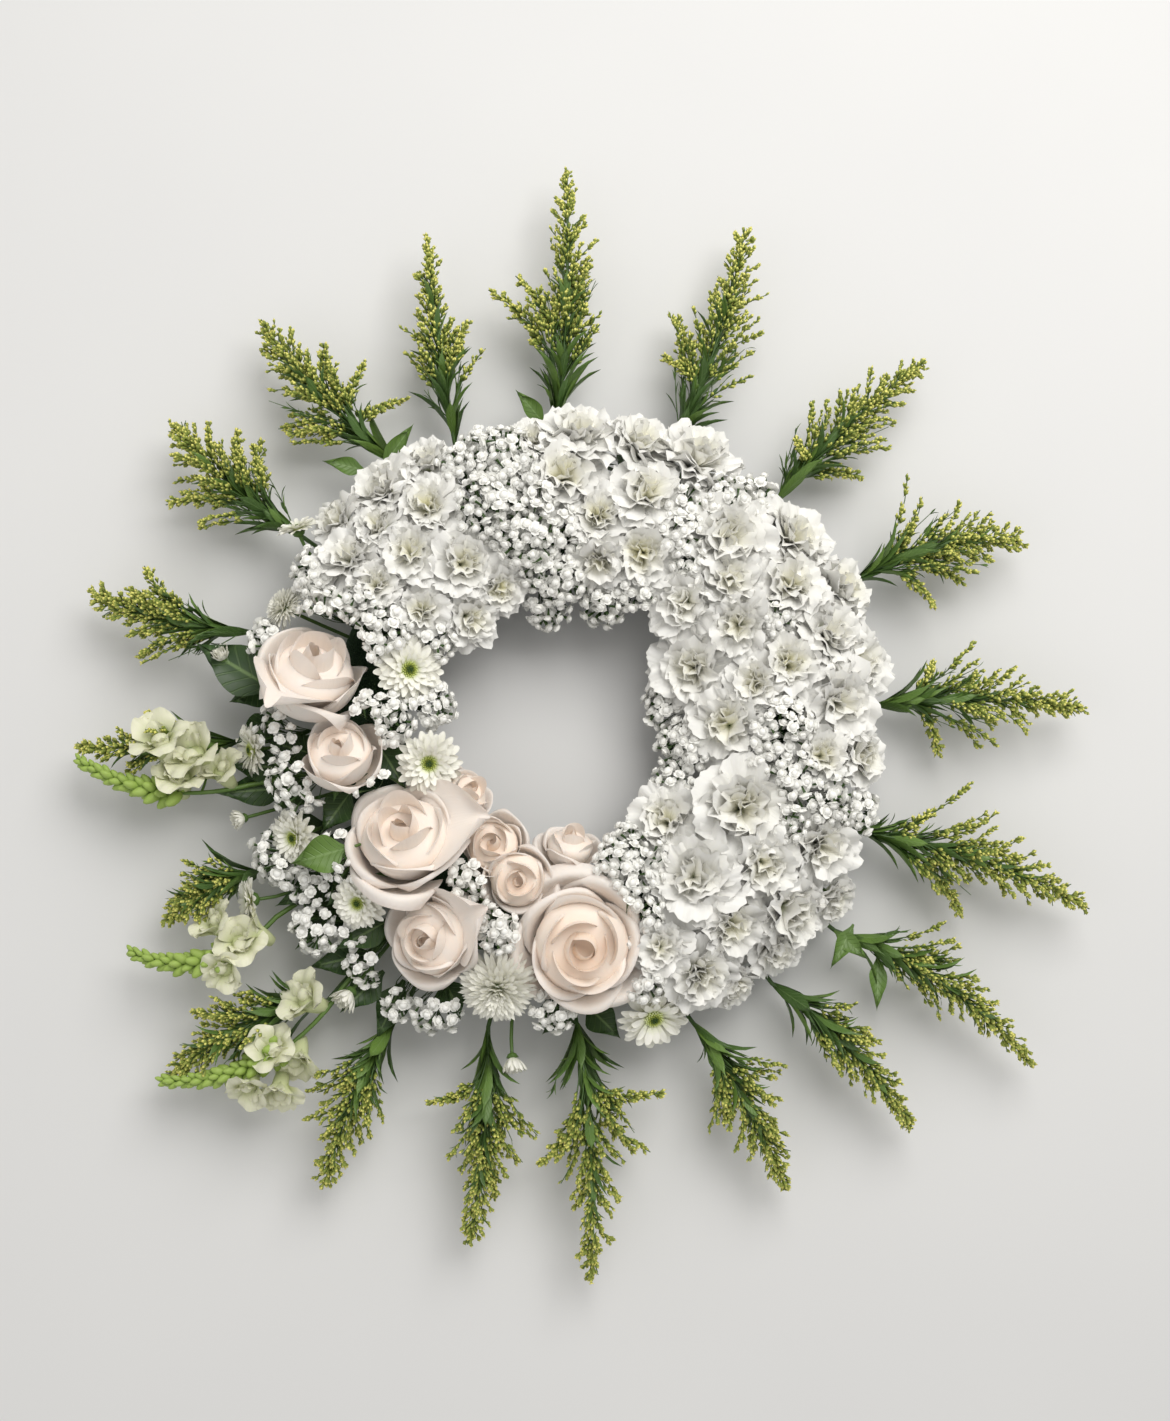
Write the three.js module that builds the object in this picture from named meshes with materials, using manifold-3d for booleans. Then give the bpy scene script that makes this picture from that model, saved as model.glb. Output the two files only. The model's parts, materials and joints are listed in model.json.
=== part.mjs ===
// A funeral wreath of cut flowers, lying on its back on the flat underside of its tray.
// Millimetres, +Z up out of the wreath's front. The origin is the ring's centre, on the resting surface.
// A plastic ring tray holds a ring of floral foam, and every stem is pushed into that foam.

import * as THREE from 'three';
import { mergeVertices } from 'three/addons/utils/BufferGeometryUtils.js';
import Module from 'manifold-3d';

const wasm = await Module();
wasm.setup();

// ---- Driving dimensions ----

const CLEARANCE = 0.35;          // gap left between neighbouring pieces
const MERGE_WITHIN = 1e-4;
const SHARPEST = 0.2;            // below this, a sharp edge swells less than it should

const RING_RADIUS = 182;         // centreline of the foam ring, a 43 cm ring
const FOAM_WIDTH = 65;
const FOAM_TOP = 52;
const FOAM_SHOULDER = 16;        // how far down and in the rounded shoulders reach
const TRAY_FLOOR = 2.4;
const TRAY_WALL = 1.8;
const TRAY_HEIGHT = 16;
const TRAY_CHAMFER = 1.5;
const RING_SIDES = 36;

// The cushion of flowers: its section is a half oval round the foam, wider outwards than inwards.
const CUSHION_CENTRE_Z = 40;
const CUSHION_RISE = 70;
const CUSHION_OUT = 104;
const CUSHION_IN = 90;
const CUSHION_EDGE = 0.96;       // the furthest bloom, as a share of the half width
const STEM_END = 14;             // how near a stem's end comes to the middle of the foam
const STEM_SIDES = 4;

const SPRAY_FOAM_RADIUS = 198;   // where a goldenrod stem ends in the foam
const SPRAY_FOAM_Z = 27;
const SPRAY_BASE_Z = 30;
const SPRAY_MIDDLE_Z = 50;
const SPRAY_TIP_Z = 42;

const Z_AXIS = new THREE.Vector3(0, 0, 1);

// ---- Materials ----

const PAINT = {
  tray: { color: 0x2f4a34, roughness: 0.45 },
  foam: { color: 0x2e5a34, roughness: 0.95 },
  goldenrod: { color: 0x8f9a35, roughness: 0.8 },
  snapdragon: { color: 0xc9d3a0, roughness: 0.6 },
  rose: { color: 0xecd9c9, roughness: 0.55 },
  chrysanthemum: { color: 0xe9ecd8, roughness: 0.6 },
  carnation: { color: 0xf1f1ea, roughness: 0.7 },
  breath: { color: 0xf3f4f0, roughness: 0.75 },
  leaf: { color: 0x24482a, roughness: 0.4 },
};

// ---- The arrangement: x and y of each bloom's middle, seen from the front, then its diameter ----

const ROSES = [
  // x, y, diameter, how far its face leans from +Z (degrees), and the bearing it leans to
  { name: 'rose_01', x: -230, y: 40, d: 108, lean: 42, towards: 75 },
  { name: 'rose_02', x: -206, y: -34, d: 80, lean: 30, towards: 100 },
  { name: 'rose_03', x: -150, y: -106, d: 110, lean: 30, towards: 110 },
  { name: 'rose_04', x: -126, y: -197, d: 92, lean: 30, towards: 190 },
  { name: 'rose_05', x: -72, y: -115, d: 64, lean: 14, towards: 120 },
  { name: 'rose_06', x: -50, y: -146, d: 68, lean: 10, towards: 250 },
  { name: 'rose_07', x: 6, y: -204, d: 118, lean: 8, towards: 270 },
  { name: 'rose_08', x: -93, y: -68, d: 54, lean: 40, towards: 40 },
  { name: 'rose_09', x: -2, y: -112, d: 58, lean: 55, towards: 85 },
];

const CHRYSANTHEMUMS = [
  { name: 'chrysanthemum_01', blooms: [[-146, 38, 63]] },
  { name: 'chrysanthemum_02', blooms: [[-128, -44, 60]] },
  { name: 'chrysanthemum_03', blooms: [[-189, -166, 52], [-200, -250, 36]] },
  { name: 'chrysanthemum_04', blooms: [[-246, -109, 55], [-296, -92, 26]] },
  { name: 'chrysanthemum_05', blooms: [[-286, -30, 48], [-314, 56, 27]] },
  { name: 'chrysanthemum_06', blooms: [[-260, 98, 43], [-248, 172, 38]] },
  { name: 'chrysanthemum_07', blooms: [[-67, -241, 72], [-51, -309, 32]] },
  { name: 'chrysanthemum_08', blooms: [[74, -268, 64]] },
  { name: 'chrysanthemum_09', blooms: [[-286, -163, 42]] },
];

const CARNATIONS = [
  { name: 'carnation_spray_01', blooms: [[-173, 206, 54], [-213, 178, 46], [-201, 140, 50],
    [-175, 114, 42], [-133, 232, 46], [-176, 168, 44]] },
  { name: 'carnation_spray_02', blooms: [[-131, 186, 52], [-146, 142, 50], [-98, 133, 56], [-135, 90, 42],
    [-91, 84, 48], [-66, 112, 42]] },
  { name: 'carnation_spray_03', blooms: [[5, 258, 62], [-10, 216, 64], [-37, 250, 40], [20, 178, 50]] },
  { name: 'carnation_spray_04', blooms: [[62, 250, 60], [64, 200, 60], [114, 240, 72], [59, 145, 56],
    [22, 136, 46]] },
  { name: 'carnation_spray_05', blooms: [[141, 162, 68], [204, 166, 64], [138, 122, 56], [98, 100, 58],
    [145, 80, 56]] },
  { name: 'carnation_spray_06', blooms: [[196, 121, 56], [248, 122, 62], [233, 76, 60], [191, 47, 54],
    [263, 52, 56]] },
  { name: 'carnation_spray_07', blooms: [[106, 44, 62], [135, -7, 60], [150, -82, 80], [82, -90, 56],
    [160, 30, 48]] },
  { name: 'carnation_spray_08', blooms: [[242, 14, 66], [262, -34, 50], [222, -34, 46], [224, -116, 62]] },
  { name: 'carnation_spray_09', blooms: [[104, -143, 68], [168, -132, 56], [140, -186, 56], [76, -205, 46],
    [114, -229, 58]] },
  { name: 'carnation_spray_10', blooms: [[198, -176, 66], [238, -164, 44], [184, -208, 50],
    [146, -240, 46]] },
];

const BABYS_BREATH = [
  { name: 'babys_breath_01', blooms: [[-62, 226, 62], [-76, 184, 60], [-44, 160, 58], [-40, 200, 50],
    [-103, 228, 36]] },
  { name: 'babys_breath_02', blooms: [[-172, 70, 50], [-192, 92, 44], [-180, -2, 34], [-160, -6, 40],
    [-122, 8, 36], [-232, 128, 42], [-222, 92, 40], [-276, 70, 34], [-122, 64, 34]] },
  { name: 'babys_breath_03', blooms: [[196, -60, 52], [228, -76, 46], [184, -92, 44], [262, -84, 40],
    [99, -24, 50], [88, -56, 36], [184, -12, 54], [176, -38, 40]] },
  { name: 'babys_breath_04', blooms: [[-246, -60, 50], [-262, -128, 52], [-236, -150, 46],
    [-206, -128, 40], [-228, -192, 44], [-124, -262, 44], [-152, -258, 34], [-262, -14, 38]] },
  { name: 'babys_breath_05', blooms: [[44, -136, 52], [52, -176, 44], [70, -132, 40], [64, -236, 34],
    [-92, -150, 42], [-68, -188, 38], [-16, -262, 36]] },
  { name: 'babys_breath_06', blooms: [[-8, 120, 42], [-26, 128, 40], [142, 196, 46], [174, 208, 34],
    [92, 160, 44], [96, 190, 38], [-20, 98, 38], [28, 102, 42]] },
];

// Goldenrod: the tip, then the foot where the spray leaves the flowers, its width and its bend to the left,
// and the tips of its long side arms.
const GOLDENROD = [
  { tip: [-6, 502], foot: [-11, 272], width: 70, bend: -4, arms: [[-51, 413], [18, 438], [-76, 399]] },
  { tip: [158, 442], foot: [97, 258], width: 82, bend: -8, arms: [[84, 341], [100, 384]] },
  { tip: [318, 318], foot: [192, 206], width: 76, bend: 6, arms: [[210, 264], [277, 233]] },
  { tip: [405, 164], foot: [262, 132], width: 84, bend: 12, arms: [[318, 188], [372, 134], [340, 107]] },
  { tip: [453, 12], foot: [280, 18], width: 76, bend: 6, arms: [[336, 57], [345, -28]] },
  { tip: [454, -172], foot: [258, -98], width: 88, bend: 10, arms: [[331, -82], [363, -177], [416, -124]] },
  { tip: [412, -314], foot: [246, -190], width: 62, bend: 14, arms: [[331, -217]] },
  { tip: [304, -368], foot: [187, -238], width: 58, bend: 8, arms: [[277, -289]] },
  { tip: [192, -424], foot: [110, -268], width: 62, bend: 6, arms: [[138, -361]] },
  { tip: [14, -502], foot: [7, -268], width: 100, bend: 6, arms: [[-29, -397], [61, -388], [84, -334]] },
  { tip: [-94, -471], foot: [-72, -276], width: 64, bend: 4, arms: [[-128, -341], [-66, -430]] },
  { tip: [-225, -422], foot: [-154, -268], width: 62, bend: -8, arms: [[-200, -330]] },
  { tip: [-366, -325], foot: [-216, -252], width: 62, bend: -12, arms: [[-335, -262]] },
  { tip: [-366, -186], foot: [-272, -136], width: 48, bend: -8, arms: [[-330, -163]] },
  { tip: [-454, -24], foot: [-296, -19], width: 52, bend: 4, arms: [[-380, 4]] },
  { tip: [-434, 111], foot: [-288, 80], width: 66, bend: 8, arms: [[-384, 136], [-352, 66]] },
  { tip: [-362, 264], foot: [-243, 168], width: 88, bend: 8,
    arms: [[-303, 264], [-283, 258], [-366, 192]] },
  { tip: [-276, 354], foot: [-158, 238], width: 96, bend: 10,
    arms: [[-227, 345], [-189, 332], [-258, 260], [-150, 300]] },
  { tip: [-132, 431], foot: [-105, 256], width: 54, bend: 4, arms: [[-94, 368]] },
];

// Snapdragons: the tip of the bud spike, its foot, its bend to the left, and the open florets beside it.
const SNAPDRAGONS = [
  { name: 'snapdragon_01', tip: [-440, -38], foot: [-286, -60], bend: 18,
    florets: [[-366, -22, 42], [-334, -34, 44], [-346, -54, 38], [-312, -50, 34]] },
  { name: 'snapdragon_02', tip: [-400, -207], foot: [-262, -178], bend: 24,
    florets: [[-314, -186, 34], [-292, -200, 36], [-304, -224, 32], [-280, -190, 34]] },
  { name: 'snapdragon_03', tip: [-372, -330], foot: [-202, -240], bend: 26,
    florets: [[-234, -252, 40], [-264, -294, 36], [-240, -300, 36], [-281, -326, 32], [-256, -328, 34]] },
];

const LEAVES = [
  { name: 'leaf_dark', from: [-262, 22], to: [-336, 66], width: 46, z: 52 },
  { name: 'leaf_rose', from: [-196, -118], to: [-246, -132], width: 34, z: 92 },
];

// ---- Solids ----

const surplus = ([a, b, c]) => a === b || b === c || c === a;

/** Moves every corner out until each face round it has moved by `gap`, or nearly so at a sharp edge. */
function swell(corners, triangles, gap) {
  const facesRound = corners.map(() => []);
  for (const triangle of triangles) {
    const [a, b, c] = triangle.map((i) => corners[i]);
    const normal = b.clone().sub(a).cross(c.clone().sub(a)).normalize();
    triangle.forEach((i) => facesRound[i].push(normal));
  }
  return corners.map((corner, i) => {
    const out = facesRound[i].reduce((sum, normal) => sum.add(normal), new THREE.Vector3()).normalize();
    const least = Math.min(...facesRound[i].map((normal) => normal.dot(out)));
    return corner.clone().addScaledVector(out, gap / Math.max(least, SHARPEST));
  });
}

/** A closed manifold-3d solid from a three.js geometry, swollen by `gap` all round. */
function solidOf(geometry, gap = 0) {
  const plain = geometry.clone();
  plain.deleteAttribute('normal');
  plain.deleteAttribute('uv');
  const merged = mergeVertices(plain, MERGE_WITHIN);
  const at = merged.attributes.position;
  let corners = Array.from({ length: at.count }, (_, i) => new THREE.Vector3().fromBufferAttribute(at, i));
  const triangles = [];
  for (let i = 0; i < merged.index.count; i += 3) {
    triangles.push([0, 1, 2].map((step) => merged.index.getX(i + step)));
  }
  const kept = triangles.filter((triangle) => !surplus(triangle));
  if (gap > 0) {
    corners = swell(corners, kept, gap);
  }
  return new wasm.Manifold(new wasm.Mesh({
    numProp: 3,
    vertProperties: new Float32Array(corners.flatMap((corner) => corner.toArray())),
    triVerts: new Uint32Array(kept.flat()),
  }));
}

/** A three.js geometry from a manifold-3d solid. */
function geometryOf(solid) {
  const mesh = solid.getMesh();
  const geometry = new THREE.BufferGeometry();
  geometry.setAttribute('position', new THREE.BufferAttribute(mesh.vertProperties, 3));
  geometry.setIndex(new THREE.BufferAttribute(mesh.triVerts, 1));
  const faceted = geometry.toNonIndexed();
  faceted.computeVertexNormals();
  return faceted;
}

const joined = (solids) => solids.reduce((whole, solid) => whole.add(solid));

/** The largest of a solid's separate bodies. */
function largest(solid) {
  const bodies = solid.decompose();
  return bodies.reduce((best, body) => (body.volume() > best.volume() ? body : best));
}

/** A solid turned round +Z from a profile of [radius, height] pairs, its outline waved by `petals`. */
function turned(profile, sides, petals = 0, wave = 0) {
  const points = profile.map(([radius, height]) => new THREE.Vector2(radius, height));
  const geometry = new THREE.LatheGeometry(points, sides);
  geometry.rotateX(Math.PI / 2);
  const at = geometry.attributes.position;
  for (let i = 0; i < at.count; i += 1) {
    const around = Math.atan2(at.getY(i), at.getX(i));
    const reach = 1 + wave * Math.cos(petals * around);
    at.setXYZ(i, at.getX(i) * reach, at.getY(i) * reach, at.getZ(i));
  }
  return geometry;
}

/** Moves a geometry made round +Z so that it stands on `point`, faces along `facing` and is `size` across. */
function stood(geometry, point, facing, size) {
  const turn = new THREE.Quaternion().setFromUnitVectors(Z_AXIS, facing);
  const scale = size.isVector3 ? size : new THREE.Vector3(size, size, size);
  return geometry.applyMatrix4(new THREE.Matrix4().compose(point, turn, scale));
}

/** A stem with a few flat sides, straight between two points or curved through more. */
function stem(points, radius, steps = 1) {
  const path = points.length > 2
    ? new THREE.CatmullRomCurve3(points)
    : new THREE.LineCurve3(points[0], points[1]);
  const corners = [];
  for (let i = 0; i < STEM_SIDES; i += 1) {
    const angle = (2 * Math.PI * i) / STEM_SIDES;
    corners.push(new THREE.Vector2(radius * Math.cos(angle), radius * Math.sin(angle)));
  }
  return new THREE.ExtrudeGeometry(new THREE.Shape(corners), { steps, extrudePath: path });
}

// ---- Where things sit ----

/** The middle of the foam at the bearing of (x, y). */
function foamMiddle(x, y) {
  const share = RING_RADIUS / Math.hypot(x, y);
  return new THREE.Vector3(x * share, y * share, CUSHION_CENTRE_Z - STEM_END);
}

/** The place on the cushion of a bloom seen at (x, y), and the way the cushion faces there. */
function seat(x, y) {
  const reach = Math.hypot(x, y);
  const across = reach - RING_RADIUS;
  const half = across > 0 ? CUSHION_OUT : CUSHION_IN;
  const share = THREE.MathUtils.clamp(across / half, -CUSHION_EDGE, CUSHION_EDGE);
  const height = Math.sqrt(1 - share * share);
  const outward = new THREE.Vector3(x / reach, y / reach, 0);
  return {
    point: new THREE.Vector3(x, y, CUSHION_CENTRE_Z + CUSHION_RISE * height),
    facing: outward.multiplyScalar(share / half)
      .addScaledVector(Z_AXIS, height / CUSHION_RISE)
      .normalize(),
  };
}

/** The end of a stem that comes from `from` and is pushed into the foam. */
function stemEnd(from) {
  const middle = foamMiddle(from.x, from.y);
  const back = from.clone().sub(middle).setLength(STEM_END);
  return middle.add(back);
}

/** A direction that leans `lean` degrees from +Z to a bearing in degrees. */
function leaning(lean, bearing) {
  const angle = THREE.MathUtils.degToRad(bearing);
  const tilt = THREE.MathUtils.degToRad(lean);
  const level = new THREE.Vector3(Math.cos(angle), Math.sin(angle), 0);
  return level.multiplyScalar(Math.sin(tilt)).addScaledVector(Z_AXIS, Math.cos(tilt));
}

// ---- The flowers: each returns the geometries of its stems and of its blooms ----

// Profiles are [radius, height] for a bloom one unit across, from the calyx up to the middle of its face.
const ROSE_PROFILE = [[0, -0.44], [0.2, -0.4], [0.44, -0.1], [0.5, 0.12], [0.34, 0.2], [0.14, 0.3],
  [0, 0.28]];
const CARNATION_PROFILE = [[0, -0.5], [0.16, -0.3], [0.53, -0.06], [0.38, 0.2], [0, 0.27]];
const DAISY_PROFILE = [[0, -0.26], [0.5, -0.02], [0.36, 0.08], [0, 0.13]];
const ROSE_FOOT = 0.4;           // how far below its middle a rose meets its stem, in diameters
const SPRAY_FORK = 0.45;         // where a branching stem forks, from its blooms down to the foam
const SIDE_BRANCH = 0.8;         // a side branch's thickness against its stem's
const PUFF_SINK = 0.12;          // how far a puff's middle sits down from the cushion's face
const PUFF_FORK = 0.4;
const PUFF_SWELL = 1.1;          // how far the outermost small blooms stand round a puff
const PUFF_RINGS = 3;
const PUFF_SIDES = 5;

function rose({ x, y, d, lean, towards }) {
  const { point } = seat(x, y);
  const facing = leaning(lean, towards);
  const foot = point.clone().addScaledVector(facing, -ROSE_FOOT * d);
  return {
    stems: [stem([foot, stemEnd(foot)], 3)],
    blooms: [stood(turned(ROSE_PROFILE, 12, 4, 0.05), point, facing, d)],
  };
}

/** Blooms of one profile on one branching stem. */
function branchingSpray({ blooms }, profile, sides, petals, wave, thick) {
  const seats = blooms.map(([x, y, d]) => ({ ...seat(x, y), d }));
  const feet = seats.map(({ point, facing, d }) => point.clone().addScaledVector(facing, -profile.foot * d));
  const middle = feet.reduce((sum, foot) => sum.add(foot), new THREE.Vector3()).divideScalar(feet.length);
  const fork = middle.clone().lerp(stemEnd(middle), SPRAY_FORK);
  const branches = blooms.length > 1 ? feet.map((foot) => stem([foot, fork], SIDE_BRANCH * thick)) : [];
  return {
    stems: [stem([blooms.length > 1 ? fork : middle, stemEnd(middle)], thick), ...branches],
    blooms: seats.map(({ point, facing, d }) => (
      stood(turned(profile.outline, sides, petals, wave), point, facing, d))),
  };
}

const CARNATION = { outline: CARNATION_PROFILE, foot: 0.36 };
const DAISY = { outline: DAISY_PROFILE, foot: 0.1 };

function carnationSpray(spray) {
  return branchingSpray(spray, CARNATION, 7, 4, 0.06, 2.4);
}

function chrysanthemum(spray) {
  return branchingSpray(spray, DAISY, 10, 5, 0.05, 2.2);
}

/** A cloud of small blooms on thin stems. */
function babysBreath({ blooms }) {
  const puffs = blooms.map(([x, y, d]) => {
    const { point } = seat(x, y);
    const middle = point.lerp(foamMiddle(x, y), PUFF_SINK);
    return { middle, d };
  });
  const centre = puffs.reduce((sum, { middle }) => sum.add(middle), new THREE.Vector3())
    .divideScalar(puffs.length);
  const fork = centre.clone().lerp(stemEnd(centre), PUFF_FORK);
  return {
    stems: [stem([fork, stemEnd(centre)], 2), ...puffs.map(({ middle }) => stem([middle, fork], 1.6))],
    blooms: puffs.map(({ middle, d }) => (
      new THREE.SphereGeometry(PUFF_SWELL * d / 2, PUFF_SIDES, PUFF_RINGS).rotateX(Math.PI / 2)
        .translate(middle.x, middle.y, middle.z))),
  };
}

const PLUME_SIDES = 4;
const PLUME_ROOT = 5;            // how far a plume's foot reaches back past the stem's middle

/** A slender plume from `from` to `to`, pointed at both ends and fullest at `full` of its length. */
function plume(from, to, radius, full = 0.45) {
  const length = from.distanceTo(to);
  const outline = [[0, -PLUME_ROOT], [radius, full * length], [0, length]];
  const facing = to.clone().sub(from).normalize();
  return stood(turned(outline, PLUME_SIDES), from, facing, 1);
}

const BRANCH_FIRST = 0.2;        // where the lowest side plume leaves the stem, as a share of the spray
const BRANCH_LAST = 0.72;
const BRANCH_ANGLE = 28;         // between a side plume and the stem
const BRANCH_SIDES = [1, -1, 0.3, -0.95, 0.95];   // how far each one turns to the left
const BRANCH_RISE = 0.6;         // how far the nearly straight ones turn upwards
const CORE_START = 0.42;         // the middle plume's foot, as a share of the spray
const STALK_SHARES = [0, 0.25, 0.5, 0.75];
const ARM_START = 0.12;          // where a long side arm leaves the stem, as a share of the spray
const ARM_FULLNESS = 0.1;        // an arm's radius, as a share of its length
const CORE_FULLNESS = 0.17;      // the middle plume's radius, as a share of the spray's width
const BRANCH_FULLNESS = 0.12;
const BRANCH_LENGTHS = [1.05, 0.6];               // lowest and highest, in spray widths
const FULL_AT = 0.6;             // where a side plume is fullest, from its root

function goldenrod({ tip, foot, width, bend, arms }) {
  const along = new THREE.Vector2(tip[0] - foot[0], tip[1] - foot[1]);
  const left = new THREE.Vector3(-along.y, along.x, 0).normalize();
  const footPoint = new THREE.Vector3(foot[0], foot[1], SPRAY_BASE_Z);
  const tipPoint = new THREE.Vector3(tip[0], tip[1], SPRAY_TIP_Z);
  const middle = footPoint.clone().lerp(tipPoint, 0.5).addScaledVector(left, bend).setZ(SPRAY_MIDDLE_Z);
  const inFoam = SPRAY_FOAM_RADIUS / Math.hypot(...foot);
  const foamEnd = new THREE.Vector3(foot[0] * inFoam, foot[1] * inFoam, SPRAY_FOAM_Z);
  const visible = new THREE.CatmullRomCurve3([footPoint, middle, tipPoint]);
  const stalkPoints = [foamEnd, ...STALK_SHARES.map((share) => visible.getPoint(share))];
  const stalk = stem(stalkPoints, 2, STALK_SHARES.length + 1);
  const plumes = [plume(visible.getPoint(CORE_START), tipPoint, CORE_FULLNESS * width, 0.4)];
  const angle = THREE.MathUtils.degToRad(BRANCH_ANGLE);
  BRANCH_SIDES.forEach((sideways, i) => {
    const share = i / (BRANCH_SIDES.length - 1);
    const place = THREE.MathUtils.lerp(BRANCH_FIRST, BRANCH_LAST, share);
    const rise = Math.abs(sideways) < 0.5 ? BRANCH_RISE : 0.1;
    const length = width * THREE.MathUtils.lerp(...BRANCH_LENGTHS, share);
    const heading = visible.getTangent(place).multiplyScalar(Math.cos(angle))
      .addScaledVector(left, sideways * Math.sin(angle))
      .addScaledVector(Z_AXIS, rise * Math.sin(angle))
      .normalize();
    const root = visible.getPoint(place);
    const end = root.clone().addScaledVector(heading, length);
    plumes.push(plume(root, end, BRANCH_FULLNESS * width, FULL_AT));
  });
  const armRoot = visible.getPoint(ARM_START);
  arms.forEach(([x, y]) => {
    const armTip = new THREE.Vector3(x, y, SPRAY_TIP_Z);
    plumes.push(plume(armRoot, armTip, ARM_FULLNESS * armRoot.distanceTo(armTip), FULL_AT));
  });
  return { stems: [stalk], blooms: plumes };
}

const SNAPDRAGON_Z = 58;
const FLORET_SIDES = 6;
const FLORET_RINGS = 4;
const FLORET_FLATNESS = 0.8;
const SPIKE_START = 0.4;         // where the buds begin and the bend is, as a share of the spike
const SPIKE_DROP = 10;           // how far the spike runs below the florets
const BUD_SPIKE_RADIUS = 10;

function snapdragon({ tip, foot, bend, florets }) {
  const tipPoint = new THREE.Vector3(tip[0], tip[1], SNAPDRAGON_Z - SPIKE_DROP);
  const footPoint = new THREE.Vector3(foot[0], foot[1], SNAPDRAGON_Z - SPIKE_DROP);
  const left = new THREE.Vector3().crossVectors(Z_AXIS, tipPoint.clone().sub(footPoint)).normalize();
  const spikeStart = footPoint.clone().lerp(tipPoint, SPIKE_START).addScaledVector(left, bend);
  const axis = new THREE.Line3(footPoint, spikeStart);
  const centres = florets.map(([x, y]) => new THREE.Vector3(x, y, SNAPDRAGON_Z));
  const pedicels = centres.map((centre) => (
    stem([axis.closestPointToPoint(centre, true, new THREE.Vector3()), centre], 1.6)));
  const puffs = florets.map(([x, y, d]) => (
    new THREE.SphereGeometry(d / 2, FLORET_SIDES, FLORET_RINGS).rotateX(Math.PI / 2)
        .scale(1, 1, FLORET_FLATNESS).translate(x, y, SNAPDRAGON_Z)));
  return {
    stems: [stem([stemEnd(footPoint), footPoint], 2.4), stem([footPoint, spikeStart], 2.4), ...pedicels],
    blooms: [plume(spikeStart, tipPoint, BUD_SPIKE_RADIUS, 0.4), ...puffs],
  };
}

const LEAF_THICKNESS = 1.6;

/** A pointed leaf blade on its stalk. */
function leaf({ from, to, width, z }) {
  const length = Math.hypot(to[0] - from[0], to[1] - from[1]);
  const blade = new THREE.Shape();
  blade.moveTo(0, 0);
  blade.quadraticCurveTo(0.45 * length, -width, length, 0);
  blade.quadraticCurveTo(0.45 * length, width, 0, 0);
  const geometry = new THREE.ExtrudeGeometry(blade, {
    depth: LEAF_THICKNESS, steps: 1, curveSegments: 5, bevelEnabled: false,
  });
  geometry.rotateZ(Math.atan2(to[1] - from[1], to[0] - from[0]));
  geometry.translate(from[0], from[1], z);
  const foot = new THREE.Vector3(from[0], from[1], z + LEAF_THICKNESS / 2);
  const reach = new THREE.Vector3(to[0], to[1], foot.z).sub(foot).setLength(0.3 * length);
  return {
    stems: [stem([stemEnd(foot), foot, foot.clone().add(reach)], 1.5, 4)],
    blooms: [geometry],
  };
}

// ---- The holder ----

function baseTray() {
  const inner = RING_RADIUS - FOAM_WIDTH / 2 - CLEARANCE - TRAY_WALL;
  const outer = RING_RADIUS + FOAM_WIDTH / 2 + CLEARANCE + TRAY_WALL;
  const section = [
    [inner + TRAY_CHAMFER, 0], [outer - TRAY_CHAMFER, 0], [outer, TRAY_CHAMFER], [outer, TRAY_HEIGHT],
    [outer - TRAY_WALL, TRAY_HEIGHT], [outer - TRAY_WALL, TRAY_FLOOR],
    [inner + TRAY_WALL, TRAY_FLOOR], [inner + TRAY_WALL, TRAY_HEIGHT],
    [inner, TRAY_HEIGHT], [inner, TRAY_CHAMFER], [inner + TRAY_CHAMFER, 0],
  ];
  return turned(section, RING_SIDES);
}

function foamRing() {
  const inner = RING_RADIUS - FOAM_WIDTH / 2;
  const outer = RING_RADIUS + FOAM_WIDTH / 2;
  const bottom = TRAY_FLOOR + CLEARANCE;
  const shoulder = FOAM_TOP - FOAM_SHOULDER;
  const round = 0.3 * FOAM_SHOULDER;
  const section = [
    [inner, bottom], [outer, bottom], [outer, shoulder], [outer - round, FOAM_TOP - round],
    [outer - FOAM_SHOULDER, FOAM_TOP], [inner + FOAM_SHOULDER, FOAM_TOP],
    [inner + round, FOAM_TOP - round], [inner, shoulder], [inner, bottom],
  ];
  return turned(section, RING_SIDES);
}

// ---- Assembly ----

const flowers = [
  ...ROSES.map((one) => ({ name: one.name, paint: PAINT.rose, ...rose(one) })),
  ...CHRYSANTHEMUMS.map((one) => ({ name: one.name, paint: PAINT.chrysanthemum, ...chrysanthemum(one) })),
  ...CARNATIONS.map((one) => ({ name: one.name, paint: PAINT.carnation, ...carnationSpray(one) })),
  ...SNAPDRAGONS.map((one) => ({ name: one.name, paint: PAINT.snapdragon, ...snapdragon(one) })),
  ...LEAVES.map((one) => ({ name: one.name, paint: PAINT.leaf, ...leaf(one) })),
  ...GOLDENROD.map((one, i) => ({
    name: `goldenrod_${String(i + 1).padStart(2, '0')}`, paint: PAINT.goldenrod, ...goldenrod(one),
  })),
  ...BABYS_BREATH.map((one) => ({ name: one.name, paint: PAINT.breath, ...babysBreath(one) })),
];

for (const flower of flowers) {
  flower.stemSolid = joined(flower.stems.map((one) => solidOf(one)));
  flower.stemRoom = joined(flower.stems.map((one) => solidOf(one, CLEARANCE)));
  flower.bloomSolid = joined(flower.blooms.map((one) => solidOf(one)));
  flower.bloomRoom = joined(flower.blooms.map((one) => solidOf(one, CLEARANCE)));
}

/** A flower with every other stem, and every bloom listed before it, cut out of it. */
function fitted(flower, index) {
  let stems = flower.stemSolid;
  let blooms = flower.bloomSolid;
  flowers.forEach((other, place) => {
    if (place < index) {
      stems = stems.subtract(other.stemRoom);
      blooms = blooms.subtract(other.bloomRoom);
    }
    if (place !== index) {
      blooms = blooms.subtract(other.stemRoom);
    }
  });
  return largest(stems.add(blooms));
}

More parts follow.
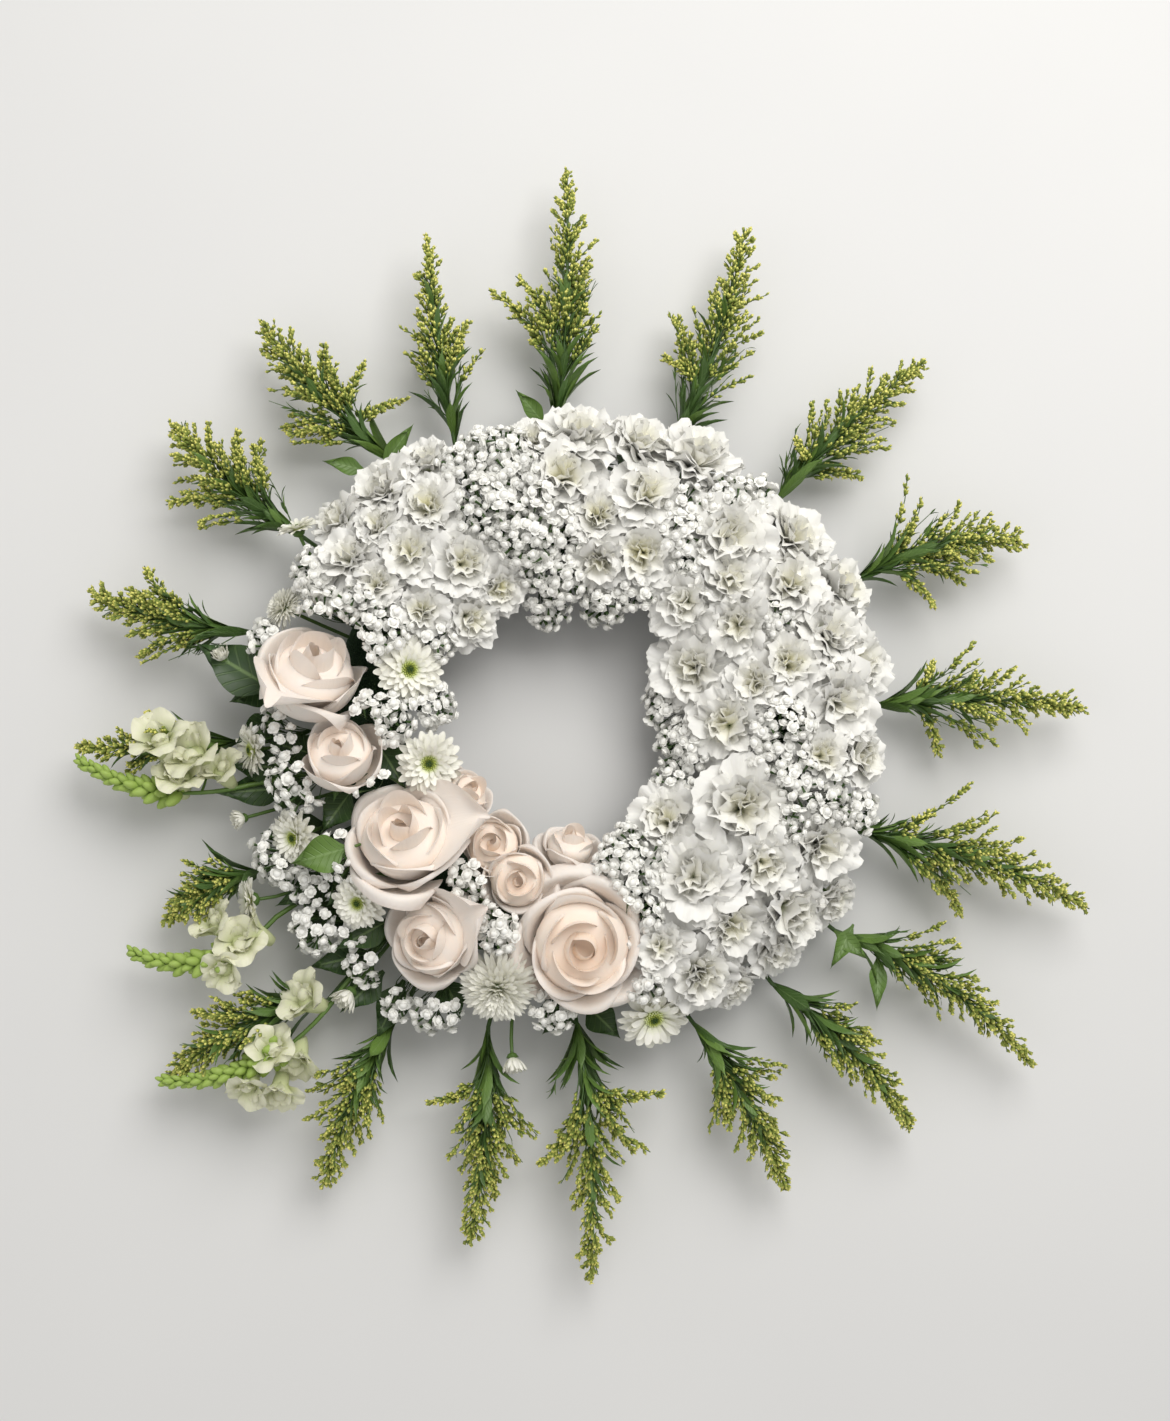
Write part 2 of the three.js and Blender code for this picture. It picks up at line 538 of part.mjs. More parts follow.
function finished(name, solid, paint) {
  const mesh = new THREE.Mesh(geometryOf(solid), new THREE.MeshStandardMaterial({ metalness: 0, ...paint }));
  mesh.name = name;
  return mesh;
}

const wreath = new THREE.Group();
wreath.name = 'funeral_wreath';
wreath.add(finished('base_tray', solidOf(baseTray()), PAINT.tray));

const stemHoles = joined(flowers.flatMap(({ stemRoom, bloomRoom }) => [stemRoom, bloomRoom]));
wreath.add(finished('foam_ring', largest(solidOf(foamRing()).subtract(stemHoles)), PAINT.foam));

flowers.forEach((flower, index) => {
  wreath.add(finished(flower.name, fitted(flower, index), flower.paint));
});

export default wreath;
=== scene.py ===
"""A funeral wreath of cut flowers, lying on its back on the flat underside of its tray.

A plastic ring tray holds a ring of floral foam. White carnations, blush roses, chrysanthemums,
snapdragons and baby's breath cover it, and sprays of goldenrod stand out all round.
Sizes in the classes are millimetres, and a mesh is made in metres. A pattern is a shape that is 1 across or
long, and is copied at its real size.
"""

import json
import logging
import math
from dataclasses import dataclass, field, replace
from enum import Enum
from typing import Any, Iterable, Sequence

import bpy
import numpy as np
from bpy.types import ID, Collection, Material, Node, NodeSocket, NodeTree, Object
from numpy import ndarray
from numpy.random import Generator
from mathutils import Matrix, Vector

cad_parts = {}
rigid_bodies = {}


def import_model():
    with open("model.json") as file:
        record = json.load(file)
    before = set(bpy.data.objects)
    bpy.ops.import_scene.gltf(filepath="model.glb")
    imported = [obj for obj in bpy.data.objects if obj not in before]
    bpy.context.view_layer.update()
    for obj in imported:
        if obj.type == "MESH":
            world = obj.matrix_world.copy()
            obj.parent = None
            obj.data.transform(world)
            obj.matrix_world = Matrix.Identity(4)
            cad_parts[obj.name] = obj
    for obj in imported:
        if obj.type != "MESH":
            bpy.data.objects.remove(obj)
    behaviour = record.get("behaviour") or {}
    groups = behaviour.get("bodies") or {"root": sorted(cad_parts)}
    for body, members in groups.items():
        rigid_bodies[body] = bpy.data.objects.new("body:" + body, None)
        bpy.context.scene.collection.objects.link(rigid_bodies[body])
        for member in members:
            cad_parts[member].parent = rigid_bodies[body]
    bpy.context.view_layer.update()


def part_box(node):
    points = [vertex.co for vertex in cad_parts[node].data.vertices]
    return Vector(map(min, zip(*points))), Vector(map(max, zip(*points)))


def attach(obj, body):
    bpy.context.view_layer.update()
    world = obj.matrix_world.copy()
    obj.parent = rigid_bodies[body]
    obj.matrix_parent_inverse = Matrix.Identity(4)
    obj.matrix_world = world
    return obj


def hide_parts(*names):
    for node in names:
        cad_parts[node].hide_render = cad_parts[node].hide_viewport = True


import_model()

MM = 0.001
SEED = 6435
GOLDEN_ANGLE = math.radians(137.508)
# The range of a random spin about an axis, in radians.
ALL_ROUND = 6.28
# Each kind of pattern draws its small differences from a seed of its own.
CARNATION_SEED, CHRYSANTHEMUM_SEED, BREATH_SEED, SNAPDRAGON_SEED = (SEED + step for step in (100, 200, 300, 400))
Z_AXIS = np.array([0.0, 0.0, 1.0])
BODY = "root"

log = logging.getLogger("wreath")


# ---- Small sums ----


def unit(vectors: ndarray) -> ndarray:
    """The same directions, one long."""
    lengths = np.linalg.norm(vectors, axis=-1, keepdims=True)
    return vectors / np.maximum(lengths, 1e-12)


def lerp(start: Any, end: Any, share: Any) -> Any:
    """The value that lies this share of the way from start to end."""
    return start + (end - start) * share


def ease(share: Any) -> Any:
    """A share from 0 to 1 that starts and stops gently."""
    held = np.clip(share, 0.0, 1.0)
    return held * held * (3.0 - 2.0 * held)


def bases_of(facings: ndarray, spins: ndarray) -> ndarray:
    """Right-handed axes whose third axis is each facing.

    Args:
        facings: The directions, one a row.
        spins: How far each set of axes is turned about its facing, in radians.

    Returns:
        One 3 by 3 matrix a row, with the axes as its columns.
    """
    up = unit(np.atleast_2d(np.asarray(facings, float)))
    guide = np.where(np.abs(up[:, 1:2]) < 0.9, [[0.0, 1.0, 0.0]], [[1.0, 0.0, 0.0]])
    side = unit(np.cross(guide, up))
    other = np.cross(up, side)
    turn = np.atleast_1d(np.asarray(spins, float))[:, None]
    first = side * np.cos(turn) + other * np.sin(turn)
    second = other * np.cos(turn) - side * np.sin(turn)
    return np.stack([first, second, up], axis=2)


def basis_of(facing: Sequence[float], spin: float = 0.0) -> ndarray:
    """The axes of one facing, as bases_of makes them."""
    return bases_of(np.array([facing], float), np.array([spin]))[0]


def eulers_of(bases: ndarray) -> ndarray:
    """The XYZ Euler angles of each matrix.

    Args:
        bases: The matrices, one a row.

    Returns:
        Their angles, one set a row.
    """
    across = np.clip(bases[:, 2, 0], -1.0, 1.0)
    return np.stack([np.arctan2(bases[:, 2, 1], bases[:, 2, 2]), -np.arcsin(across),
                     np.arctan2(bases[:, 1, 0], bases[:, 0, 0])], axis=1)


def leaning(lean: float, bearing: float) -> ndarray:
    """A direction that leans from +Z, both angles in degrees."""
    tilt, turn = math.radians(lean), math.radians(bearing)
    return np.array([math.sin(tilt) * math.cos(turn), math.sin(tilt) * math.sin(turn), math.cos(tilt)])


def through(first: ndarray, middle: ndarray, last: ndarray, shares: ndarray) -> ndarray:
    """Points on the smooth arc through three points, one for each share of its length."""
    t = np.asarray(shares, float)[:, None]
    return first * (1 - t) * (1 - 2 * t) + middle * 4 * t * (1 - t) + last * t * (2 * t - 1)


def bowed(start: ndarray, bend: ndarray, end: ndarray, count: int) -> ndarray:
    """Points on the arc that leaves its start towards the bend and reaches its end from it."""
    t = np.linspace(0, 1, count)[:, None]
    return start * (1 - t) ** 2 + 2 * bend * t * (1 - t) + end * t ** 2


# ---- Meshes ----


@dataclass
class Shape:
    """A mesh being put together, with a value at each point for each named attribute."""

    points: ndarray
    quads: ndarray = field(default_factory=lambda: np.zeros((0, 4), int))
    triangles: ndarray = field(default_factory=lambda: np.zeros((0, 3), int))
    values: dict[str, ndarray] = field(default_factory=dict)
    rim: ndarray | None = None

    NAMES = ("along", "across", "depth", "tone")

    def __post_init__(self) -> None:
        """Fill in the values that were not given."""
        count = len(self.points)
        for name in self.NAMES:
            given = self.values.get(name, 0.0)
            self.values[name] = np.broadcast_to(np.asarray(given, float), (count,)).copy()
        if self.rim is None:
            self.rim = np.zeros(count, bool)

    @classmethod
    def joined(cls, shapes: Iterable["Shape"]) -> "Shape":
        """One shape made of several.

        Args:
            shapes: The parts.

        Returns:
            Their points and faces together, in the same order.
        """
        parts = list(shapes)
        starts = np.cumsum([0] + [len(part.points) for part in parts])
        return cls(
            np.concatenate([part.points for part in parts]),
            np.concatenate([part.quads + start for part, start in zip(parts, starts)]),
            np.concatenate([part.triangles + start for part, start in zip(parts, starts)]),
            {name: np.concatenate([part.values[name] for part in parts]) for name in cls.NAMES},
            np.concatenate([part.rim for part in parts]),
        )

    def placed(self, basis: ndarray, size: float, at: Sequence[float]) -> "Shape":
        """A copy that is scaled, turned to the basis and moved."""
        points = (self.points * size) @ basis.T + np.asarray(at, float)
        return Shape(points, self.quads, self.triangles, dict(self.values), self.rim)

    def marked(self, **values: float) -> "Shape":
        """The same shape with these attributes set all over."""
        self.values |= {name: np.full(len(self.points), float(value)) for name, value in values.items()}
        return self

    def to_object(self, name: str, material: Material | None = None, keep: Sequence[str] = NAMES) -> Object:
        """Make the Blender object.

        Args:
            name: The object's name.
            material: Its finish, if it has one yet.
            keep: The attributes that the mesh carries.

        Returns:
            The object, at the origin and in the scene, its sizes in metres.
        """
        mesh = bpy.data.meshes.new(name)
        quads, triangles = len(self.quads), len(self.triangles)
        mesh.vertices.add(len(self.points))
        mesh.vertices.foreach_set("co", (self.points * MM).astype(np.float32).ravel())
        mesh.loops.add(quads * 4 + triangles * 3)
        corners = np.concatenate([self.quads.ravel(), self.triangles.ravel()]).astype(np.int32)
        mesh.loops.foreach_set("vertex_index", corners)
        starts = np.concatenate([np.arange(quads) * 4, quads * 4 + np.arange(triangles) * 3])
        mesh.polygons.add(quads + triangles)
        mesh.polygons.foreach_set("loop_start", starts.astype(np.int32))
        mesh.update(calc_edges=True)
        if self.rim.any():
            ends = np.zeros(len(mesh.edges) * 2, np.int32)
            mesh.edges.foreach_get("vertices", ends)
            sharp = mesh.attributes.new("sharp_edge", "BOOLEAN", "EDGE")
            sharp.data.foreach_set("value", self.rim[ends].reshape(-1, 2).all(axis=1))
        for attribute in keep:
            layer = mesh.attributes.new(attribute, "FLOAT", "POINT")
            layer.data.foreach_set("value", self.values[attribute].astype(np.float32))
        if material is not None:
            mesh.materials.append(material)
        return linked(name, mesh)


def shell(middle: ndarray, thickness: float, along: ndarray, across: ndarray) -> Shape:
    """A thin closed sheet, its two sides meeting along its edge.

    Args:
        middle: The sheet's middle surface, rows by columns by 3.
        thickness: How thick it is. The edge comes to nothing.
        along: The value of `along` in each row.
        across: The value of `across` in each column.

    Returns:
        The sheet, with its outer edge marked as its rim.
    """
    rows, columns = middle.shape[:2]
    normal = unit(np.cross(np.gradient(middle, axis=1), np.gradient(middle, axis=0)))
    edge = np.ones((rows, columns), bool)
    edge[1:-1, 1:-1] = False
    half = np.where(edge, 0.0, thickness / 2)[..., None]
    front = np.arange(rows * columns).reshape(rows, columns)
    back = front.copy()
    inner = ~edge
    back[inner] = rows * columns + np.arange(inner.sum())

    def quads(index: ndarray) -> ndarray:
        """The faces of one side, by the index of each of its points."""
        return np.stack([index[:-1, :-1], index[:-1, 1:], index[1:, 1:], index[1:, :-1]], -1).reshape(-1, 4)

    points = np.concatenate([(middle + normal * half).reshape(-1, 3), (middle - normal * half)[inner]])
    values = {}
    for name, given in (("along", along), ("across", across)):
        held = np.broadcast_to(given, edge.shape)
        values[name] = np.concatenate([held.ravel(), held[inner]])
    rim = np.concatenate([edge.ravel(), np.zeros(inner.sum(), bool)])
    return Shape(points, np.concatenate([quads(front), quads(back)[:, ::-1]]), values=values, rim=rim)


def turned(profile: Sequence[tuple[float, float]], sides: int) -> Shape:
    """A shape turned about +Z, closed at both its poles.

    Args:
        profile: The radius and height of each ring, from the bottom pole to the top one.
        sides: How many sides it has.

    Returns:
        The closed shape, with `along` rising from 0 at the bottom to 1 at the top.
    """
    rings = profile[1:-1]
    angle = np.arange(sides) * math.tau / sides
    circle = np.stack([np.cos(angle), np.sin(angle)], 1)
    points = [np.array([[0.0, 0.0, profile[0][1]]])]
    points += [np.column_stack([circle * radius, np.full(sides, height)]) for radius, height in rings]
    points.append(np.array([[0.0, 0.0, profile[-1][1]]]))
    ring, following = np.arange(sides), (np.arange(sides) + 1) % sides
    quads = [np.zeros((0, 4), int)]
    for start in range(1, 1 + (len(rings) - 1) * sides, sides):
        quads.append(np.stack([start + ring, start + following, start + sides + following, start + sides + ring], 1))
    last = 1 + len(rings) * sides
    foot = np.stack([np.zeros(sides, int), 1 + following, 1 + ring], 1)
    top = np.stack([np.full(sides, last), last - sides + ring, last - sides + following], 1)
    along = np.concatenate([[0.0], np.repeat(np.linspace(0, 1, len(rings)), sides), [1.0]])
    return Shape(np.concatenate(points), np.concatenate(quads), np.concatenate([foot, top]), {"along": along})


@dataclass(frozen=True)
class Blade:
    """One petal or leaf: a thin closed sheet. X is across it, Y outwards and Z up."""

    length: float
    width: float
    rows: int = 5
    columns: int = 5
    foot: float = 0.2
    widest: float = 0.6
    tip: float = 0.3
    lean: tuple[float, float] = (20.0, 70.0)
    cup: float = 0.1
    ruffle: float = 0.0
    waves: float = 3.0
    phase: float = 0.0
    teeth: float = 0.0
    rounding: float = 0.2
    twist: float = 0.0
    thickness: float = 0.01

    # The blade's curve is worked out in steps, a little past its tip.
    STEPS, PAST_TIP = 48, 1.15

    def half_width(self, along: ndarray) -> ndarray:
        """Half the blade's width.

        Args:
            along: Shares of its length.

        Returns:
            The half width at each of them.
        """
        rise = lerp(self.foot, 1.0, ease(along / self.widest))
        fall = 1.0 - (1.0 - self.tip) * np.clip((along - self.widest) / (1 - self.widest), 0, 1) ** 2
        return 0.5 * self.width * rise * fall

    def shape(self) -> Shape:
        """Bend the blade's outline into its sheet.

        Returns:
            The blade, with its foot at the origin.
        """
        v = np.linspace(0.0, 1.0, self.rows)[:, None]
        u = np.linspace(-1.0, 1.0, self.columns)[None, :]
        reach = v * (1 - self.rounding * v * np.abs(u) ** 2.2)
        notch = np.where(np.arange(self.columns) % 2 == 0, -1.0, 1.0)[None, :]
        reach = reach + self.teeth * notch * v ** 6
        fine = np.linspace(0.0, self.PAST_TIP, self.STEPS)
        heading = np.radians(lerp(self.lean[0], self.lean[1], fine ** 1.2))
        step = self.length * (fine[1] - fine[0])
        out = np.concatenate([[0.0], np.cumsum(np.sin(heading[:-1]) * step)])
        up = np.concatenate([[0.0], np.cumsum(np.cos(heading[:-1]) * step)])
        at = np.interp(reach, fine, heading)
        wave = np.sin(u * self.waves * math.pi / 2 + self.phase)
        wave = wave + 0.45 * np.sin(u * self.waves * 2.3 + self.phase * 1.7 + v * 3.0)
        lift = self.cup * self.width * u ** 2 * ease(v * 1.4) + self.ruffle * self.length * wave * v ** 2
        swing = self.twist * v * u * self.width * 0.5
        sideways = u * self.half_width(np.broadcast_to(v, reach.shape))
        outwards = np.interp(reach, fine, out) - np.cos(at) * (lift + swing)
        upwards = np.interp(reach, fine, up) + np.sin(at) * (lift + swing)
        return shell(np.stack([sideways, outwards, upwards], axis=-1), self.thickness, v, u)

    def round_axis(self, angle: float, radius: float, height: float) -> Shape:
        """The blade with its foot this far out from +Z and this high, turned about it by an angle in radians."""
        turn = basis_of(Z_AXIS, angle)
        return self.shape().placed(turn, 1.0, turn @ np.array([0.0, radius, height]))


# ---- Objects and nodes ----


def linked(name: str, data: ID) -> Object:
    """Put new data in the scene.

    Args:
        name: The object's name.
        data: Its mesh, lamp or camera.

    Returns:
        The object.
    """
    made = bpy.data.objects.new(name, data)
    bpy.context.scene.collection.objects.link(made)
    return made


def carrier(name: str, points: ndarray, edges: ndarray | None = None, **layers: ndarray) -> Object:
    """A bare mesh for a node group to grow on.

    Args:
        name: The object's name.
        points: Its points, in millimetres.
        edges: The two points of each of its edges.
        **layers: Each named attribute's values at the points: whole numbers, numbers or vectors.

    Returns:
        The object, in the scene.
    """
    mesh = bpy.data.meshes.new(name)
    mesh.vertices.add(len(points))
    mesh.vertices.foreach_set("co", (points * MM).astype(np.float32).ravel())
    if edges is not None:
        mesh.edges.add(len(edges))
        mesh.edges.foreach_set("vertices", edges.astype(np.int32).ravel())
    for label, values in layers.items():
        whole, vectors = values.dtype.kind == "i", values.ndim == 2
        layer = mesh.attributes.new(label, "INT" if whole else "FLOAT_VECTOR" if vectors else "FLOAT", "POINT")
        values = values.astype(np.int32 if whole else np.float32).ravel()
        layer.data.foreach_set("vector" if vectors else "value", values)
    return linked(name, mesh)


def plugged(tree: NodeTree, kind: str, inputs: dict[Any, Any], **settings: Any) -> Node:
    """Add a node to a tree.

    Args:
        tree: The tree.
        kind: The node's type.
        inputs: What each input takes, by its name or number: another socket, a colour or a plain value.
        **settings: The node's own properties.

    Returns:
        The node.
    """
    node = tree.nodes.new(kind)
    for label, value in settings.items():
        setattr(node, label, value)
    for label, value in inputs.items():
        socket = node.inputs[label]
        if isinstance(value, NodeSocket):
            tree.links.new(value, socket)
        else:
            socket.default_value = (*value, 1.0) if socket.type == "RGBA" else value
    return node


class NodeKit:
    """The node groups that repeat a shape at many places, or sweep it along a line."""

    def __init__(self) -> None:
        """Build the groups once, for every piece to use."""
        self.copies = self._copies()
        self.stems = self._swept("sweep_stems", "Sides")
        self.ring = self._swept("carry_round", "Steps")

    @staticmethod
    def _tree(name: str, **inputs: str) -> tuple[NodeTree, Any]:
        """Start a group that takes and gives geometry.

        Args:
            name: The group's name.
            **inputs: The type of each of its further inputs.

        Returns:
            The group, and the sockets that give its inputs.
        """
        tree = bpy.data.node_groups.new(name, "GeometryNodeTree")
        tree.interface.new_socket("Geometry", in_out="OUTPUT", socket_type="NodeSocketGeometry")
        for label, kind in {"Geometry": "Geometry", **inputs, "Finish": "Material"}.items():
            tree.interface.new_socket(label, in_out="INPUT", socket_type=f"NodeSocket{kind}")
        return tree, tree.nodes.new("NodeGroupInput").outputs

    @staticmethod
    def _named(tree: NodeTree, name: str, kind: str) -> NodeSocket:
        """The socket that reads a named attribute of the points."""
        node = plugged(tree, "GeometryNodeInputNamedAttribute", {"Name": name}, data_type=kind)
        return node.outputs["Attribute"]

    @staticmethod
    def _end(tree: NodeTree, geometry: NodeSocket, finish: NodeSocket) -> None:
        """Finish a group: real geometry in the finish that was asked for.

        Args:
            tree: The group.
            geometry: What it has made.
            finish: The finish.
        """
        real = plugged(tree, "GeometryNodeRealizeInstances", {"Geometry": geometry}).outputs["Geometry"]
        paint = plugged(tree, "GeometryNodeSetMaterial", {"Geometry": real, "Material": finish})
        plugged(tree, "NodeGroupOutput", {"Geometry": paint.outputs["Geometry"]})

    def _copies(self) -> NodeTree:
        """Build the group that sets a copy of one of the patterns at every point.

        Returns:
            The group. The points' attributes say which pattern it is, how it is turned and its size.
        """
        tree, given = self._tree("place_copies", Patterns="Collection")
        patterns = plugged(tree, "GeometryNodeCollectionInfo", {
            "Collection": given["Patterns"], "Separate Children": True, "Reset Children": True})
        turn = plugged(tree, "FunctionNodeEulerToRotation", {"Euler": self._named(tree, "turn", "FLOAT_VECTOR")})
        place = plugged(tree, "GeometryNodeInstanceOnPoints", {
            "Points": given["Geometry"], "Instance": patterns.outputs["Instances"], "Pick Instance": True,
            "Instance Index": self._named(tree, "kind", "INT"), "Rotation": turn.outputs["Rotation"],
            "Scale": self._named(tree, "size", "FLOAT")})
        self._end(tree, place.outputs["Instances"], given["Finish"])
        return tree

    def _swept(self, name: str, steps: str) -> NodeTree:
        """Build a group that sweeps a circle and a line.

        Args:
            name: The group's name.
            steps: The name of the input that says how many steps the circle has: its sides where it is
                swept along the lines, as thick as their girth says, or its steps where a closed section
                is carried round it.

        Returns:
            The group.
        """
        along_lines = steps == "Sides"
        tree, given = self._tree(name, Radius="Float", **{steps: "Int"})
        line = plugged(tree, "GeometryNodeMeshToCurve", {"Mesh": given["Geometry"]}).outputs["Curve"]
        circle = plugged(tree, "GeometryNodeCurvePrimitiveCircle", {
            "Resolution": given[steps], "Radius": given["Radius"]}).outputs["Curve"]
        path, section = (line, circle) if along_lines else (circle, line)
        sweep = plugged(tree, "GeometryNodeCurveToMesh", {"Curve": path, "Profile Curve": section})
        if along_lines:
            sweep.inputs["Fill Caps"].default_value = True
            tree.links.new(self._named(tree, "girth", "FLOAT"), sweep.inputs["Scale"])
        self._end(tree, sweep.outputs["Mesh"], given["Finish"])
        return tree

    @staticmethod
    def grown(plain: Object, tree: NodeTree, inputs: dict[str, Any]) -> Object:
        """Run a group on an object and keep what it makes as a plain mesh.

        Args:
            plain: The object whose mesh the group reads.
            tree: The group.
            inputs: The value of each of its named inputs.

        Returns:
            The same object with the new mesh and no modifier.
        """
        modifier = plain.modifiers.new("build", "NODES")
        modifier.node_group = tree
        for item in tree.interface.items_tree:
            if item.item_type == "SOCKET" and item.in_out == "INPUT" and item.name in inputs:
                modifier[item.identifier] = inputs[item.name]
        bpy.context.view_layer.update()
        graph = bpy.context.evaluated_depsgraph_get()
        mesh = bpy.data.meshes.new_from_object(
            plain.evaluated_get(graph), preserve_all_data_layers=True, depsgraph=graph)
        plain.modifiers.clear()
        old, plain.data = plain.data, mesh
        bpy.data.meshes.remove(old)
        for spent in ("kind", "turn", "size", "girth"):
            if spent in mesh.attributes:
                mesh.attributes.remove(mesh.attributes[spent])
        return plain


@dataclass
class Spots:
    """Where the copies of a few patterns go."""

    at: list[ndarray] = field(default_factory=list)
    basis: list[ndarray] = field(default_factory=list)
    size: list[ndarray] = field(default_factory=list)
    kind: list[ndarray] = field(default_factory=list)
    tone: list[ndarray] = field(default_factory=list)

    def add(self, at: ndarray, basis: ndarray, size: Any, kind: Any, tone: Any) -> None:
        """Add one spot or several.

        Args:
            at: The places, one a row.
            basis: The axes of each copy.
            size: How large each copy is.
            kind: Which of the patterns each one is.
            tone: The attribute that shades it.
        """
        places = np.atleast_2d(at)
        count = len(places)
        self.at.append(places)
        self.basis.append(np.asarray(basis, float).reshape(count, 3, 3))
        for held, value in ((self.size, size), (self.kind, kind), (self.tone, tone)):
            held.append(np.broadcast_to(np.asarray(value, float), (count,)))

    def grow(self, name: str, kit: NodeKit, patterns: Collection, finish: Material) -> Object:
        """Put the copies in place.

        Args:
            name: The object's name.
            kit: The node groups.
            patterns: The shapes that are copied.
            finish: The copies' finish.

        Returns:
            Every copy, as one mesh.
        """
        places, basis, size, kind, tone = map(np.concatenate, (self.at, self.basis, self.size, self.kind, self.tone))
        made = carrier(name, places, turn=eulers_of(basis), kind=kind.astype(int), size=size, tone=tone)
        return kit.grown(made, kit.copies, {"Patterns": patterns, "Finish": finish})


@dataclass
class Lines:
    """The lines that stems follow, with the stem's radius and tone at each point."""

    points: list[ndarray] = field(default_factory=list)
    girth: list[ndarray] = field(default_factory=list)
    tone: list[ndarray] = field(default_factory=list)

    def add(self, points: ndarray, girth: Any, tone: float) -> None:
        """Add one stem.

        Args:
            points: The points it follows.
            girth: Its radius, all along or at each point.
            tone: The attribute that shades it.
        """
        self.points.append(np.asarray(points, float))
        self.girth.append(np.broadcast_to(np.asarray(girth, float), (len(points),)))
        self.tone.append(np.full(len(points), tone))

    def grow(self, name: str, kit: NodeKit, sides: int, finish: Material) -> Object:
        """Sweep every stem.

        Args:
            name: The object's name.
            kit: The node groups.
            sides: How many sides a stem has.
            finish: The stems' finish.

        Returns:
            Every stem, as one mesh.
        """
        starts = np.cumsum([0] + [len(run) for run in self.points])
        pairs = [np.stack([np.arange(a, b - 1), np.arange(a + 1, b)], 1) for a, b in zip(starts, starts[1:])]
        made = carrier(name, np.concatenate(self.points), np.concatenate(pairs),
                       girth=np.concatenate(self.girth) * MM, tone=np.concatenate(self.tone))
        return kit.grown(made, kit.stems, {"Radius": 1.0, "Sides": sides, "Finish": finish})


class PatternBook:
    """The small shapes that are repeated, each kind in a collection of its own."""

    def __init__(self) -> None:
        """Make every pattern."""
        self.collections: dict[str, Collection] = {}
        self._add("carnation_head", [CarnationHead(seed).petals() for seed in range(6)])
        self._add("carnation_cup", [CarnationHead.calyx()])
        self._add("narrow_leaf", narrow_leaf_shapes())
        self._add("chrysanthemum_head", [ChrysanthemumHead(form).petals() for form in Form])
        self._add("chrysanthemum_cup", [ChrysanthemumHead(form).calyx() for form in Form])
        self._add("breath_floret", [BreathFloret(seed).petals() for seed in range(4)])
        self._add("goldenrod_bud_pattern", goldenrod_bud_shapes())
        self._add("snapdragon_floret", snapdragon_shapes())
        self._add("snapdragon_cup", [bud_cup_shape()])

    def __getitem__(self, name: str) -> Collection:
        """The patterns of one kind."""
        return self.collections[name]

    def _add(self, name: str, shapes: Sequence[Shape]) -> None:
        """Keep these shapes as the patterns of one kind, in this order.

        Args:
            name: The kind's name.
            shapes: Its patterns.
        """
        collection = bpy.data.collections.new(name)
        bpy.context.scene.collection.children.link(collection)
        for index, shape in enumerate(shapes):
            made = shape.to_object(f"{name}_{index:02d}", keep=("along", "across", "depth"))
            bpy.context.scene.collection.objects.unlink(made)
            collection.objects.link(made)
        self.collections[name] = collection

    def clear(self) -> None:
        """Take the patterns away, once every copy is a mesh."""
        for collection in self.collections.values():
            for pattern in list(collection.objects):
                bpy.data.meshes.remove(pattern.data)
            bpy.data.collections.remove(collection)
        self.collections.clear()


def together(name: str, parts: Sequence[Object]) -> Object:
    """Join objects that share a finish.

    Args:
        name: The name of the whole.
        parts: The objects.

    Returns:
        The first of them, which the others have joined.
    """
    keep = parts[0]
    if len(parts) > 1:
        with bpy.context.temp_override(active_object=keep, selected_editable_objects=list(parts)):
            bpy.ops.object.join()
    keep.name = keep.data.name = name
    return keep


# ---- Finishes ----

Colour = tuple[float, float, float]


